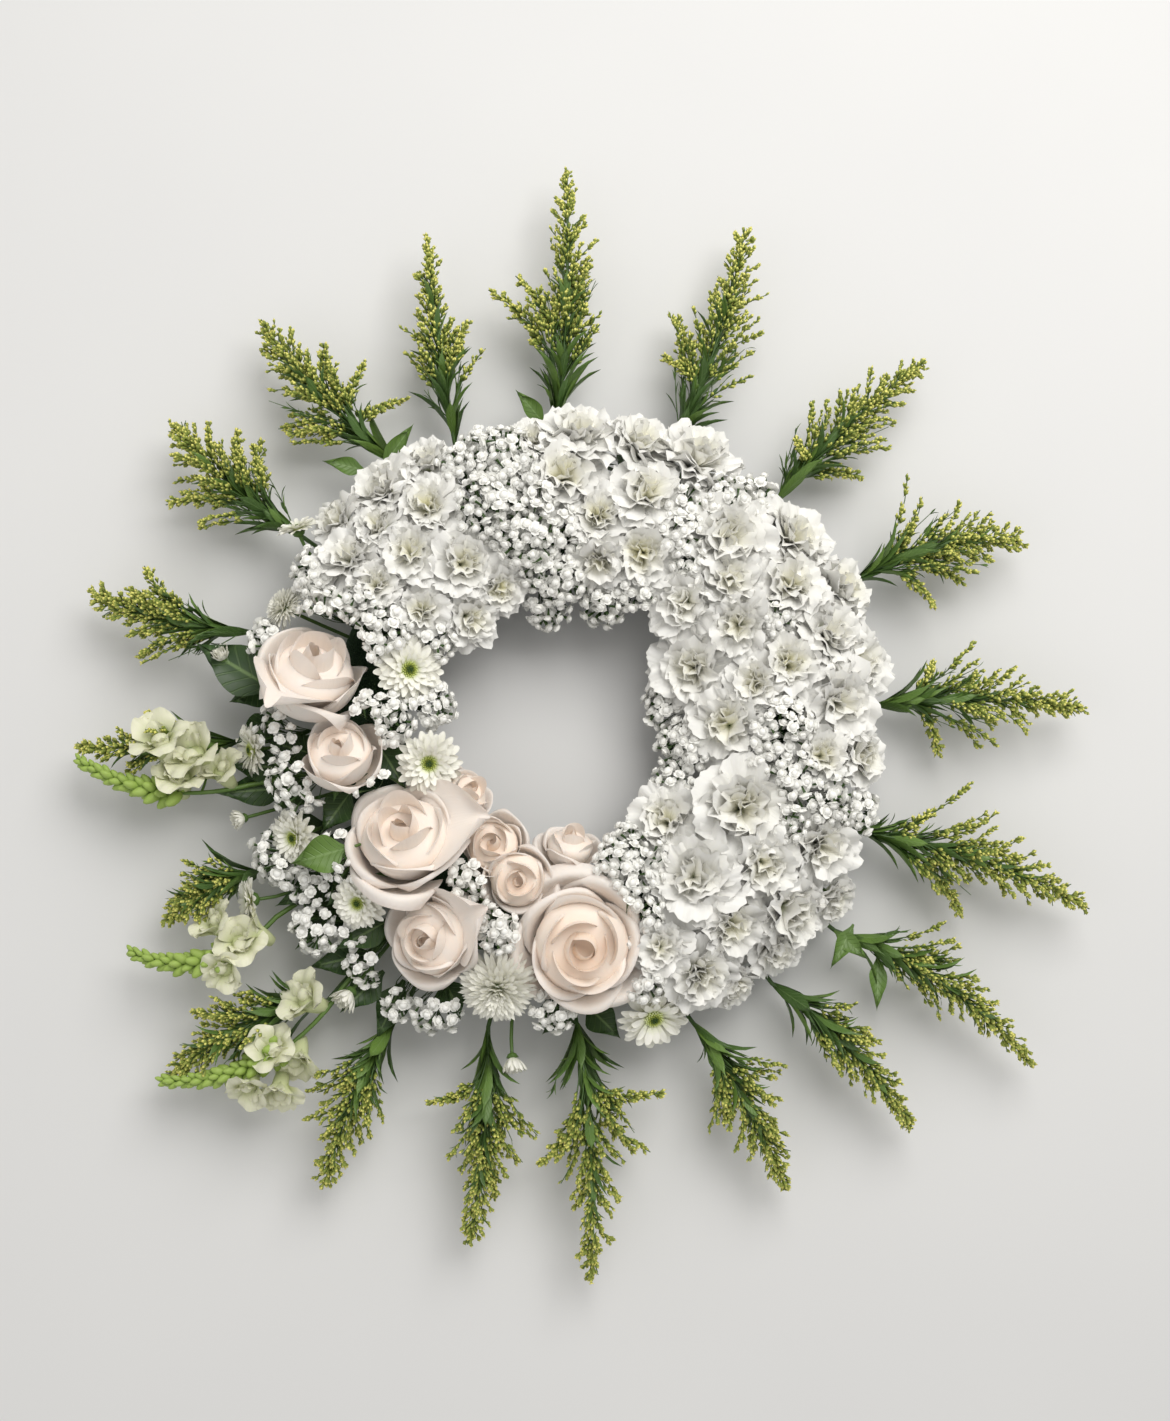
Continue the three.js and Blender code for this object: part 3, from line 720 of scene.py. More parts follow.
class Recipe:
    """The nodes of one finish as they are put together."""

    def __init__(self, name: str) -> None:
        """Start a material with no nodes.

        Args:
            name: The material's name.
        """
        self.material = bpy.data.materials.new(name)
        self.material.use_nodes = True
        self.tree = self.material.node_tree
        self.tree.nodes.clear()
        self.relief: dict[str, NodeSocket] = {}

    def value(self, name: str) -> NodeSocket:
        """The value of one of the mesh's attributes."""
        return plugged(self.tree, "ShaderNodeAttribute", {}, attribute_name=name).outputs["Fac"]

    def math(self, operation: str, first: Any, second: Any = 0.0) -> NodeSocket:
        """A sum of two values."""
        return plugged(self.tree, "ShaderNodeMath", {0: first, 1: second}, operation=operation).outputs[0]

    def remap(self, value: Any, low: float, high: float, bottom: float = 0.0, top: float = 1.0) -> NodeSocket:
        """A value from low to high as one from bottom to top, held between them."""
        inputs = {"Value": value, "From Min": low, "From Max": high, "To Min": bottom, "To Max": top}
        return plugged(self.tree, "ShaderNodeMapRange", inputs).outputs["Result"]

    def blend(self, share: Any, first: Any, second: Any) -> NodeSocket:
        """A colour between two others."""
        inputs = {"Factor": share, 6: first, 7: second}
        return plugged(self.tree, "ShaderNodeMix", inputs, data_type="RGBA").outputs[2]

    def noise(self, scale: float, detail: float = 2.0, where: Any = None) -> NodeSocket:
        """Soft cloudy noise, in the object's own place unless told where."""
        inputs = {"Scale": scale, "Detail": detail, "Vector": self.place() if where is None else where}
        return plugged(self.tree, "ShaderNodeTexNoise", inputs).outputs["Fac"]

    def cells(self, scale: float) -> NodeSocket:
        """How far each point is from the middle of its cell."""
        inputs = {"Scale": scale, "Vector": self.place()}
        return plugged(self.tree, "ShaderNodeTexVoronoi", inputs).outputs["Distance"]

    def place(self) -> NodeSocket:
        """The point's place in the object, in metres."""
        return plugged(self.tree, "ShaderNodeTexCoord", {}).outputs["Object"]

    def on_blade(self, across: float, along: float) -> NodeSocket:
        """Coordinates that follow a blade and differ from blade to blade.

        Args:
            across: Their scale across it.
            along: Their scale along it.

        Returns:
            The coordinates.
        """
        scales = (("across", across), ("along", along), ("tone", 37.0))
        inputs = {axis: self.math("MULTIPLY", self.value(name), scale) for axis, (name, scale) in enumerate(scales)}
        return plugged(self.tree, "ShaderNodeCombineXYZ", inputs).outputs[0]

    def bump(self, height: Any, depth: float) -> None:
        """Raise the surface by up to this many millimetres."""
        node = plugged(self.tree, "ShaderNodeBump", {"Distance": depth * MM, "Height": height})
        self.relief = {"Normal": node.outputs["Normal"]}

    def done(self, colour: Any, **settings: Any) -> Material:
        """Set the shader and give back the material.

        Args:
            colour: The base colour, or the socket that gives it.
            **settings: The shader's other inputs, with an underscore for each space.

        Returns:
            The finished material.
        """
        plain = {label.replace("_", " "): value for label, value in settings.items()}
        shader = plugged(self.tree, "ShaderNodeBsdfPrincipled", {"Base Color": colour, **plain, **self.relief})
        plugged(self.tree, "ShaderNodeOutputMaterial", {"Surface": shader.outputs["BSDF"]})
        return self.material


@dataclass(frozen=True)
class RosePetalFinish:
    """Blush cream petals that turn peach towards the heart."""

    cream: Colour = (0.885, 0.812, 0.75)
    heart: Colour = (0.93, 0.755, 0.61)
    foot: Colour = (0.88, 0.84, 0.64)
    lip: Colour = (0.94, 0.83, 0.76)

    SLOT = "rose_petal"

    def material(self) -> Material:
        """Make the petals' material.

        Returns:
            The material, named for its slot.
        """
        r = Recipe(self.SLOT)
        veins = r.noise(1.0, 3.0, r.on_blade(13.0, 1.8))
        cloud = r.noise(45.0, 2.0)
        warm = r.math("ADD", r.remap(r.value("depth"), 0.2, 1.0, 0.0, 0.9), r.remap(cloud, 0.35, 0.75, 0.0, 0.22))
        colour = r.blend(warm, self.cream, self.heart)
        colour = r.blend(r.remap(r.value("along"), 0.9, 1.0, 0.0, 0.35), colour, self.lip)
        colour = r.blend(r.remap(r.value("along"), 0.34, 0.05, 0.0, 0.7), colour, self.foot)
        colour = r.blend(r.remap(veins, 0.45, 0.75, 0.0, 0.16), colour, self.lip)
        r.bump(veins, 0.35)
        return r.done(colour, Roughness=r.remap(cloud, 0.3, 0.7, 0.44, 0.56), Subsurface_Weight=0.25,
                      Subsurface_Radius=(1.0, 0.8, 0.66), Subsurface_Scale=0.003, Sheen_Weight=0.12,
                      Sheen_Roughness=0.4, Specular_IOR_Level=0.35)


@dataclass(frozen=True)
class CarnationPetalFinish:
    """White ruffled petals with a cream heart."""

    white: Colour = (0.90, 0.893, 0.86)
    heart: Colour = (0.88, 0.85, 0.60)
    foot: Colour = (0.70, 0.75, 0.46)

    SLOT = "carnation_petal"

    def material(self) -> Material:
        """Make the petals' material.

        Returns:
            The material, named for its slot.
        """
        r = Recipe(self.SLOT)
        veins = r.noise(1.0, 3.0, r.on_blade(11.0, 2.0))
        towards_foot = r.remap(r.value("along"), 1.0, 0.55, 0.25, 1.0)
        inner = r.math("MULTIPLY", r.remap(r.value("depth"), 0.35, 1.0), towards_foot)
        creamy = r.math("MULTIPLY", inner, r.remap(r.value("tone"), 0.0, 1.0, 0.25, 0.9))
        colour = r.blend(creamy, self.white, self.heart)
        colour = r.blend(r.remap(r.value("along"), 0.4, 0.1, 0.0, 0.7), colour, self.foot)
        colour = r.blend(r.remap(veins, 0.5, 0.8, 0.0, 0.10), colour, self.heart)
        r.bump(veins, 0.3)
        return r.done(colour, Roughness=r.remap(veins, 0.3, 0.7, 0.55, 0.66), Subsurface_Weight=0.10,
                      Subsurface_Radius=(1.0, 0.95, 0.85), Subsurface_Scale=0.003, Sheen_Weight=0.1,
                      Sheen_Roughness=0.5, Specular_IOR_Level=0.3)


@dataclass(frozen=True)
class ChrysanthemumPetalFinish:
    """White ray petals, lime towards the disc, round a dark green eye."""

    white: Colour = (0.95, 0.94, 0.85)
    lime: Colour = (0.62, 0.70, 0.22)
    olive: Colour = (0.36, 0.42, 0.07)
    eye: Colour = (0.05, 0.10, 0.02)

    SLOT = "chrysanthemum_petal"

    def material(self) -> Material:
        """Make the material of rays and disc together.

        Returns:
            The material, named for its slot.
        """
        r = Recipe(self.SLOT)
        grooves = r.noise(1.0, 2.0, r.on_blade(6.0, 0.8))
        depth = r.value("depth")
        near = r.math("MULTIPLY", r.remap(r.value("along"), 0.55, 0.0, 0.0, 0.8), r.remap(depth, 0.0, 0.4, 0.35, 1.0))
        colour = r.blend(near, self.white, self.lime)
        colour = r.blend(r.remap(depth, 0.45, 0.6), colour, self.lime)
        colour = r.blend(r.remap(depth, 0.6, 0.8), colour, self.olive)
        colour = r.blend(r.remap(depth, 0.8, 1.0), colour, self.eye)
        r.bump(grooves, 0.4)
        return r.done(colour, Roughness=r.remap(grooves, 0.3, 0.7, 0.5, 0.62), Subsurface_Weight=0.08,
                      Subsurface_Radius=(0.9, 1.0, 0.7), Subsurface_Scale=0.002, Specular_IOR_Level=0.3)


@dataclass(frozen=True)
class SnapdragonPetalFinish:
    """Pale green-white florets and lime buds."""

    white: Colour = (0.76, 0.76, 0.57)
    throat: Colour = (0.46, 0.52, 0.22)
    bud: Colour = (0.33, 0.46, 0.10)

    SLOT = "snapdragon_petal"

    def material(self) -> Material:
        """Make the material of florets and buds together.

        Returns:
            The material, named for its slot.
        """
        r = Recipe(self.SLOT)
        veins = r.noise(1.0, 2.0, r.on_blade(8.0, 2.0))
        colour = r.blend(r.remap(r.value("along"), 0.75, 0.05, 0.0, 0.85), self.white, self.throat)
        colour = r.blend(r.value("depth"), colour, self.bud)
        colour = r.blend(r.remap(veins, 0.5, 0.8, 0.0, 0.2), colour, self.throat)
        r.bump(veins, 0.3)
        return r.done(colour, Roughness=r.remap(veins, 0.3, 0.7, 0.48, 0.6), Subsurface_Weight=0.1,
                      Subsurface_Radius=(0.8, 1.0, 0.5), Subsurface_Scale=0.003, Specular_IOR_Level=0.35)


@dataclass(frozen=True)
class GreenFinish:
    """Stems, calyces and leaves: dark green at tone 0, and bright green at tone 1."""

    dark: Colour = (0.012, 0.035, 0.012)
    middle: Colour = (0.062, 0.125, 0.026)
    bright: Colour = (0.19, 0.32, 0.055)
    rib: Colour = (0.22, 0.33, 0.12)

    SLOT = "leaf_green"

    def material(self) -> Material:
        """Make the material of everything green.

        Returns:
            The material, named for its slot.
        """
        r = Recipe(self.SLOT)
        tone = r.value("tone")
        blotch = r.noise(70.0, 3.0)
        side = r.math("ABSOLUTE", r.value("across"))
        slant = r.math("SUBTRACT", r.math("MULTIPLY", r.value("along"), 46.0), r.math("MULTIPLY", side, 13.0))
        veins = r.remap(r.math("SINE", slant), 0.7, 1.0)
        colour = r.blend(r.remap(tone, 0.0, 0.5), self.dark, self.middle)
        colour = r.blend(r.remap(tone, 0.5, 1.0), colour, self.bright)
        colour = r.blend(r.remap(blotch, 0.35, 0.8, 0.0, 0.45), colour, self.middle)
        ribs = r.math("MULTIPLY", r.remap(side, 0.10, 0.03, 0.0, 0.55), r.value("depth"))
        colour = r.blend(ribs, colour, self.rib)
        colour = r.blend(r.math("MULTIPLY", r.math("MULTIPLY", veins, r.value("depth")), 0.16), colour, self.rib)
        r.bump(r.math("SUBTRACT", r.math("MULTIPLY", blotch, 0.4), r.math("MULTIPLY", veins, r.value("depth"))), 0.35)
        return r.done(colour, Roughness=r.remap(blotch, 0.3, 0.8, 0.36, 0.55), Specular_IOR_Level=0.45)


@dataclass(frozen=True)
class GoldenrodFinish:
    """Tight yellow-green buds, without a green husk where they open, and yellower towards the spray's tip and the
    ends of its branches: partly ripeness, partly a painted highlight.
    """

    green: Colour = (0.20, 0.265, 0.035)
    yellow: Colour = (0.93, 0.87, 0.24)
    husk: Colour = (0.11, 0.18, 0.025)

    SLOT = "goldenrod_bud"

    def material(self) -> Material:
        """Make the buds' material.

        Returns:
            The material, named for its slot.
        """
        r = Recipe(self.SLOT)
        speck = r.noise(600.0, 2.0)
        # The tone is yellower towards the spray's tip and the branch ends: partly ripeness, partly a painted
        # highlight on the plume's outside.
        share = r.math("ADD", r.value("tone"), r.remap(speck, 0.3, 0.7, -0.25, 0.25))
        colour = r.blend(r.remap(share, 0.0, 1.0), self.green, self.yellow)
        colour = r.blend(r.remap(r.value("along"), 0.46, 0.06, 0.0, 0.8), colour, self.husk)
        r.bump(speck, 0.25)
        return r.done(colour, Roughness=r.remap(speck, 0.3, 0.7, 0.6, 0.78), Specular_IOR_Level=0.3)


@dataclass(frozen=True)
class BreathFinish:
    """Tiny white double blooms with a green-grey heart."""

    white: Colour = (0.94, 0.935, 0.90)
    heart: Colour = (0.76, 0.77, 0.62)

    SLOT = "babys_breath_bloom"

    def material(self) -> Material:
        """Make the blooms' material.

        Returns:
            The material, named for its slot.
        """
        r = Recipe(self.SLOT)
        crease = r.noise(900.0, 2.0)
        colour = r.blend(r.remap(r.value("along"), 0.4, 0.0, 0.0, 0.8), self.white, self.heart)
        colour = r.blend(r.remap(crease, 0.55, 0.8, 0.0, 0.15), colour, self.heart)
        r.bump(crease, 0.2)
        return r.done(colour, Roughness=r.remap(crease, 0.3, 0.7, 0.6, 0.72), Specular_IOR_Level=0.25)


@dataclass(frozen=True)
class FoamFinish:
    """Wet floral foam: dark green, with fine open cells, painted darker in the pits of the cells as shade."""

    dark: Colour = (0.010, 0.026, 0.012)
    light: Colour = (0.035, 0.075, 0.032)

    SLOT = "floral_foam"

    def material(self) -> Material:
        """Make the foam's material.

        Returns:
            The material, named for its slot.
        """
        r = Recipe(self.SLOT)
        cells = r.cells(900.0)
        patches = r.noise(22.0, 4.0)
        # Painted shade: the foam is darker in the sunk pits of its cells. The patches vary its tone at random.
        share = r.math("MULTIPLY", r.remap(cells, 0.1, 0.6), r.remap(patches, 0.3, 0.7, 0.4, 1.0))
        r.bump(r.math("ADD", cells, r.math("MULTIPLY", patches, 2.0)), 0.8)
        return r.done(r.blend(share, self.dark, self.light), Roughness=r.remap(patches, 0.3, 0.7, 0.7, 0.95),
                      Specular_IOR_Level=0.25)


@dataclass(frozen=True)
class TrayFinish:
    """Moulded dark green plastic with a fine grain and rubbed patches."""

    green: Colour = (0.016, 0.045, 0.024)
    rubbed: Colour = (0.045, 0.085, 0.05)

    SLOT = "tray_plastic"

    def material(self) -> Material:
        """Make the tray's material.

        Returns:
            The material, named for its slot.
        """
        r = Recipe(self.SLOT)
        grain = r.noise(1400.0, 2.0)
        rub = r.noise(30.0, 5.0)
        r.bump(r.math("ADD", grain, r.math("MULTIPLY", rub, 1.5)), 0.12)
        colour = r.blend(r.remap(rub, 0.5, 0.75, 0.0, 0.7), self.green, self.rubbed)
        return r.done(colour, Roughness=r.remap(rub, 0.35, 0.75, 0.3, 0.5), Specular_IOR_Level=0.5)


@dataclass(frozen=True)
class FloorFinish:
    """A plain pale floor with the faintest unevenness."""

    pale: Colour = (0.70, 0.70, 0.70)
    paler: Colour = (0.74, 0.74, 0.735)

    def material(self) -> Material:
        """Make the floor's material."""
        r = Recipe("studio_floor")
        return r.done(r.blend(r.noise(3.0), self.pale, self.paler), Roughness=0.85, Specular_IOR_Level=0.2)


def all_finishes() -> dict[str, Material]:
    """Every material of the wreath, by the name of its slot.

    Returns:
        The materials.
    """
    kinds = (RosePetalFinish, CarnationPetalFinish, ChrysanthemumPetalFinish, SnapdragonPetalFinish, GreenFinish,
             GoldenrodFinish, BreathFinish, FoamFinish, TrayFinish)
    return {kind.SLOT: kind().material() for kind in kinds}


# ---- The ring that carries the flowers ----


@dataclass(frozen=True)
class Cushion:
    """The dome that the blooms sit on: half an oval in section, wider outwards than inwards."""

    radius: float = 182.0
    centre_z: float = 40.0
    rise: float = 70.0
    out: float = 104.0
    inside: float = 90.0
    edge: float = 0.96
    foam_z: float = 26.0
    stem_end: float = 14.0

    def seat(self, x: float, y: float) -> tuple[ndarray, ndarray]:
        """Where a bloom sits over a point of the plan.

        Args:
            x: The point's x.
            y: The point's y.

        Returns:
            The seat on the dome, and the direction that the dome faces there.
        """
        reach = math.hypot(x, y)
        across = reach - self.radius
        half = self.out if across > 0 else self.inside
        share = float(np.clip(across / half, -self.edge, self.edge))
        height = math.sqrt(1 - share * share)
        outward = np.array([x / reach, y / reach, 0.0])
        facing = unit(outward * (share / half) + Z_AXIS * (height / self.rise))
        return np.array([x, y, self.centre_z + self.rise * height]), facing

    def stem_foot(self, x: float, y: float, start: ndarray) -> ndarray:
        """Where a stem that starts at a bloom ends in the foam.

        Args:
            x: The bloom's x.
            y: The bloom's y.
            start: Where the stem starts.

        Returns:
            The stem's end.
        """
        reach = math.hypot(x, y)
        middle = np.array([x * self.radius / reach, y * self.radius / reach, self.foam_z])
        return middle + unit(start - middle) * self.stem_end


CUSHION = Cushion()


@dataclass
class Ring:
    """The tray and the foam in it, carried round their circle."""

    steps: int = 180
    foam_shoulder: float = 16.0
    tray_wall: float = 1.8
    tray_floor: float = 2.4
    tray_chamfer: float = 1.5
    lip: float = 0.6

    def _carried(self, shop: "Workshop", name: str, section: Sequence[tuple[float, float]], node: str,
                 slot: str) -> None:
        """Carry a closed section round the ring, in place of a plain solid.

        Args:
            shop: What the piece is made with.
            name: The piece's name.
            section: The radius and height of each of its corners.
            node: The CAD node that it replaces.
            slot: The record's material slot.
        """
        middle, count = CUSHION.radius, len(section)
        points = np.array([(radius - middle, -height, 0.0) for radius, height in reversed(section)])
        made = carrier(name, points, np.array([(i, (i + 1) % count) for i in range(count)]))
        inputs = {"Radius": middle * MM, "Steps": self.steps, "Finish": shop.finishes[slot]}
        dressed(shop.kit.grown(made, shop.kit.ring, inputs), [node])

    def build(self, shop: "Workshop") -> None:
        """Make the tray and the foam in place of their plain solids.

        Args:
            shop: What the pieces are made with.
        """
        low, high = (np.array(corner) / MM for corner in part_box("foam_ring"))
        outer, top = high[0], high[2]
        inner = 2 * CUSHION.radius - outer
        bottom = low[2]
        turn = np.radians(np.linspace(0, 90, 7))
        s = self.foam_shoulder
        right = [(outer - s + s * math.cos(a), top - s + s * math.sin(a)) for a in turn]
        left = [(inner + s - s * math.sin(a), top - s + s * math.cos(a)) for a in turn]
        section = [(inner, bottom), (outer, bottom), *right, *left]
        self._carried(shop, "foam", section, "foam_ring", "floral_foam")

        _, high = (np.array(corner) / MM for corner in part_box("base_tray"))
        outer, height = high[0], high[2]
        inner = 2 * CUSHION.radius - outer
        c, w, f, e = self.tray_chamfer, self.tray_wall, self.tray_floor, self.lip
        section = [
            (inner + c, 0.0), (outer - c, 0.0), (outer, c), (outer, height - e), (outer - e, height),
            (outer - w + e, height), (outer - w, height - e), (outer - w, f), (inner + w, f),
            (inner + w, height - e), (inner + w - e, height), (inner + e, height), (inner, height - e), (inner, c),
        ]
        self._carried(shop, "tray", section, "base_tray", "tray_plastic")


def dressed(piece: Object, nodes: Sequence[str]) -> None:
    """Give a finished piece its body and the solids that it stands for.

    Args:
        piece: The finished object, at the origin.
        nodes: The CAD nodes that it replaces.
    """
    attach(piece, BODY)
    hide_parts(*nodes)
    mesh = piece.data
    co = np.zeros(len(mesh.vertices) * 3, np.float32)
    mesh.vertices.foreach_get("co", co)
    co = co.reshape(-1, 3)
    lows, highs = zip(*(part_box(node) for node in nodes))
    proud = np.maximum(np.min(lows, axis=0) - co.min(0), co.max(0) - np.max(highs, axis=0)).max()
    faces = sum(max(0, len(face.vertices) - 2) for face in mesh.polygons)
    log.info("%s: %d triangles, stands %.1f mm out of its solids' box", piece.name, faces, proud / MM)


@dataclass
class Workshop:
    """What every sub-assembly is made with."""

    kit: NodeKit = field(default_factory=NodeKit)
    finishes: dict[str, Material] = field(default_factory=all_finishes)
    patterns: PatternBook = field(default_factory=PatternBook)
    rng: Generator = field(default_factory=lambda: np.random.default_rng(SEED))

    def pick(self, pattern: str) -> int:
        """A random one of the patterns of one kind."""
        return self.rng.integers(0, len(self.patterns[pattern].objects))

    def solid(self, name: str, shape: Shape, slot: str = "leaf_green") -> Object:
        """A shape as an object in the finish of a slot."""
        return shape.to_object(name, self.finishes[slot])

    def copies(self, name: str, spots: Spots, pattern: str, slot: str = "leaf_green") -> Object:
        """Copies of one kind of pattern, in the finish of a slot."""
        return spots.grow(name, self.kit, self.patterns[pattern], self.finishes[slot])

    def stems(self, name: str, lines: Lines, sides: int) -> Object:
        """Green stems with this many sides."""
        return lines.grow(name, self.kit, sides, self.finishes["leaf_green"])

    def flowers(self, node: str, kind: str, spots: Spots, pattern: str, slot: str) -> None:
        """Make the finished piece that holds all the flowers of a node.

        Args:
            node: The CAD node.
            kind: What the flowers are, for the piece's name.
            spots: Where they go.
            pattern: The kind of pattern that is copied.
            slot: The record's material slot.
        """
        dressed(self.copies(f"{node}_{kind}", spots, pattern, slot), [node])


def greens(node: str, parts: Sequence[Object], kind: str = "greens") -> None:
    """Join all that is green of a node into one finished piece, named for the node and this kind."""
    dressed(together(f"{node}_{kind}", parts), [node])


# ---- Roses ----


@dataclass(frozen=True)
class Rose:
    """A blush rose: petals wrapped in a spiral round a tight heart."""

    node: str
    x: float
    y: float
    diameter: float
    lean: float
    towards: float
    opening: float = 0.8
    petals: int = 28
    heart_warmth: float = 1.0
    hollow: float = 0.0
    outer: tuple[float, ...] = ()
    leaves: tuple[tuple[float, float, float, float, float], ...] = ()
    seed: int = 1

    ROWS, COLUMNS, THICKNESS = 12, 17, 0.006
    STEM_START, STEM_RADIUS = 0.47, 2.6
    OUTER_DEPTH = 0.34
    LEAF_WIDTH, LEAF_RISE = 30.0, 12

    def _petal(self, rank: float, turn: float, rng: Generator) -> Shape:
        """One petal of a bloom that is 1 across.

        Args:
            rank: 0 for the innermost petal and 1 for the outermost.
            turn: Where round the bloom its middle stands, in radians.
            rng: The source of its small differences.

        Returns:
            The petal, in the bloom's own frame.
        """
        spread = rank * self.opening
        v = np.linspace(0.0, 1.0, self.ROWS)[:, None] ** 0.85
        u = np.linspace(-1.0, 1.0, self.COLUMNS)[None, :]
        reach = v * (1 - lerp(0.26, 0.46, rank) * np.abs(u) ** 2.6 * (0.25 + 0.75 * v))
        belly = 0.11 + 0.36 * rank
        lip = self.hollow + 0.022 + (0.29 + 0.17 * self.opening) * rank ** 0.95
        top = 0.20 + 0.085 * math.sin(math.pi * min(1.0, rank * 1.5)) - 0.20 * spread ** 1.6 - 0.5 * self.hollow
        top += rng.uniform(-0.015, 0.015)
        control = np.array([
            [0.035 + 0.02 * rank, -0.40],
            [belly * 0.98, -0.40 + 0.03 * rank],
            [belly * 1.05 + self.hollow * 0.6, lerp(0.04, -0.04, rank)],
            [lip, top],
        ])
        t = reach[..., None]
        line = (control[0] * (1 - t) ** 3 + 3 * control[1] * t * (1 - t) ** 2
                + 3 * control[2] * t ** 2 * (1 - t) + control[3] * t ** 3)
        radius, height = line[..., 0], line[..., 1]
        roll = np.clip((v - 0.58) / 0.42, 0, 1) ** 2.2 * (1.0 - 0.35 * np.abs(u) ** 2)
        strength = (0.25 + self.opening * rank) * float(ease(rank / 0.3)) * rng.uniform(0.8, 1.2)
        radius = radius + 0.085 * strength * roll
        height = height - 0.085 * strength * roll ** 1.5 * (0.4 + rank)
        radius = radius + u * lerp(0.022, 0.040, rank) * v
        wobble = rng.uniform(0, math.tau, 3)
        radius = radius + 0.012 * np.sin(u * 2.7 + wobble[0]) * v ** 2 * (0.3 + rank)
        height = height + (0.014 * np.sin(u * 2.0 + wobble[1]) + 0.006 * np.sin(u * 5 + wobble[2])) * v ** 2
        width = (0.22 + 0.29 * rank ** 0.7) * rng.uniform(0.94, 1.08)
        across = width * (0.16 + 0.84 * ease(v / 0.55)) * (1 - 0.26 * np.clip((v - 0.55) / 0.45, 0, 1) ** 2)
        angle = turn + u * np.minimum(across / np.maximum(radius, 0.03), 2.5)
        middle = np.stack([radius * np.cos(angle), radius * np.sin(angle), height], axis=-1)
        warmth = (1 - rank) ** 1.5 * self.heart_warmth
        return shell(middle, self.THICKNESS, v, u).marked(depth=warmth, tone=rng.uniform(0, 1))

    def _bloom(self) -> Shape:
        """Every petal of a bloom that is 1 across.

        Returns:
            The petals as one shape, about the bloom's own middle.
        """
        rng = np.random.default_rng(SEED + self.seed)
        shapes = []
        for index in range(self.petals):
            share = index / (self.petals - 1)
            turn = index * GOLDEN_ANGLE + rng.uniform(-0.12, 0.12)
            shapes.append(self._petal(share, turn, rng))
        core = turned([(0, -0.42), (0.16, -0.38), (0.30, -0.20), (0.34, -0.04), (0.30, 0.03), (0.20, 0.07),
                       (0.10, 0.06), (0, 0.04)], 24)
        shapes.append(core.marked(depth=0.55 * self.heart_warmth, along=0.7))
        return Shape.joined(shapes)

    def _outer_petal(self, bearing: float, seat: ndarray, facing: ndarray) -> Shape:
        """A large petal that has opened out from the rest.

        Args:
            bearing: The way that it opens, in degrees from +X.
            seat: The middle of the bloom.
            facing: The way that the bloom faces.

        Returns:
            The petal, in its place.
        """
        side = unit(np.cross(leaning(90, bearing), facing))
        basis = np.stack([side, np.cross(facing, side), facing], axis=1)
        petal = Blade(length=0.82, width=0.78, rows=13, columns=13, foot=0.35, widest=0.55, tip=0.18,
                      lean=(34, 98), cup=0.17, rounding=0.10, ruffle=0.012, waves=2.0, phase=bearing,
                      thickness=0.006)
        shape = petal.shape().placed(basis, self.diameter, seat - facing * self.diameter * self.OUTER_DEPTH)
        return shape.marked(depth=0.05, tone=0.5)

    def _calyx(self) -> Shape:
        """The green cup and its five sepals, below a bloom that is 1 across.

        Returns:
            The calyx as one shape.
        """
        cup = turned([(0, -0.50), (0.05, -0.49), (0.085, -0.455), (0.10, -0.415), (0.06, -0.385), (0, -0.38)], 12)
        shapes = [cup.marked(tone=0.5)]
        for index in range(5):
            sepal = Blade(length=0.36, width=0.12, rows=6, columns=5, foot=0.7, widest=0.25, tip=0.05,
                          lean=(60, 120 if index % 2 else 35), cup=-0.12, thickness=0.008)
            shapes.append(sepal.round_axis(index * math.tau / 5 + 0.3, 0.07, -0.42).marked(tone=0.5, depth=0.3))
        return Shape.joined(shapes)

    def build(self, shop: Workshop) -> None:
        """Make the bloom, its calyx and its stem in place of the plain solid.

        Args:
            shop: What the pieces are made with.
        """
        seat, _ = CUSHION.seat(self.x, self.y)
        facing = leaning(self.lean, self.towards)
        basis = basis_of(facing, self.seed * 0.7)
        shapes = [self._bloom().placed(basis, self.diameter, seat)]
        shapes += [self._outer_petal(bearing, seat, facing) for bearing in self.outer]
        dressed(shop.solid(f"{self.node}_petals", Shape.joined(shapes), "rose_petal"), [self.node])
        calyx = shop.solid("calyx", self._calyx().placed(basis, self.diameter, seat))
        start = seat - facing * self.diameter * self.STEM_START
        lines = Lines()
        lines.add(stem_run(start, facing, CUSHION.stem_foot(self.x, self.y, start)), self.STEM_RADIUS, 0.45)
        parts = [calyx, shop.stems("stem", lines, 8)]
        for x0, y0, x1, y1, z in self.leaves:
            low, tip = np.array([x0, y0, z - self.LEAF_RISE]), np.array([x1, y1, z])
            parts.append(shop.solid("leaf", leaf_between(low, tip, self.LEAF_WIDTH, 0.14, 0.16)))
        greens(self.node, parts)


def leaf_between(start: ndarray, end: ndarray, width: float, fold: float, tone: float) -> Shape:
    """A broad leaf.

    Args:
        start: Where its stalk meets it.
        end: Its tip.
        width: Its width.
        fold: How far its halves are folded up.
        tone: Its green, from 0, dark, to 1, bright.

    Returns:
        The leaf, its face up.
    """
    ahead = unit(end - start)
    side = unit(np.cross(ahead, Z_AXIS))
    basis = np.stack([side, ahead, np.cross(side, ahead)], axis=1)
    blade = Blade(length=float(np.linalg.norm(end - start)) * 1.03, width=width, rows=13, columns=9, foot=0.12,
                  widest=0.42, tip=0.03, lean=(82, 98), cup=fold, ruffle=0.012, waves=5, phase=1.0, thickness=0.7)
    return blade.shape().placed(basis, 1.0, start).marked(tone=tone, depth=1.0)


def stem_run(start: ndarray, facing: ndarray, foot: ndarray, count: int = 8) -> ndarray:
    """The line of a stem that leaves a bloom straight back and bends to its foot.

    Args:
        start: Where it meets the bloom.
        facing: The way that the bloom faces.
        foot: Where it ends in the foam.
        count: How many points it has.

    Returns:
        The points, from bloom to foot.
    """
    gap = float(np.linalg.norm(foot - start))
    return bowed(start, start - facing * gap * 0.4, foot, count)


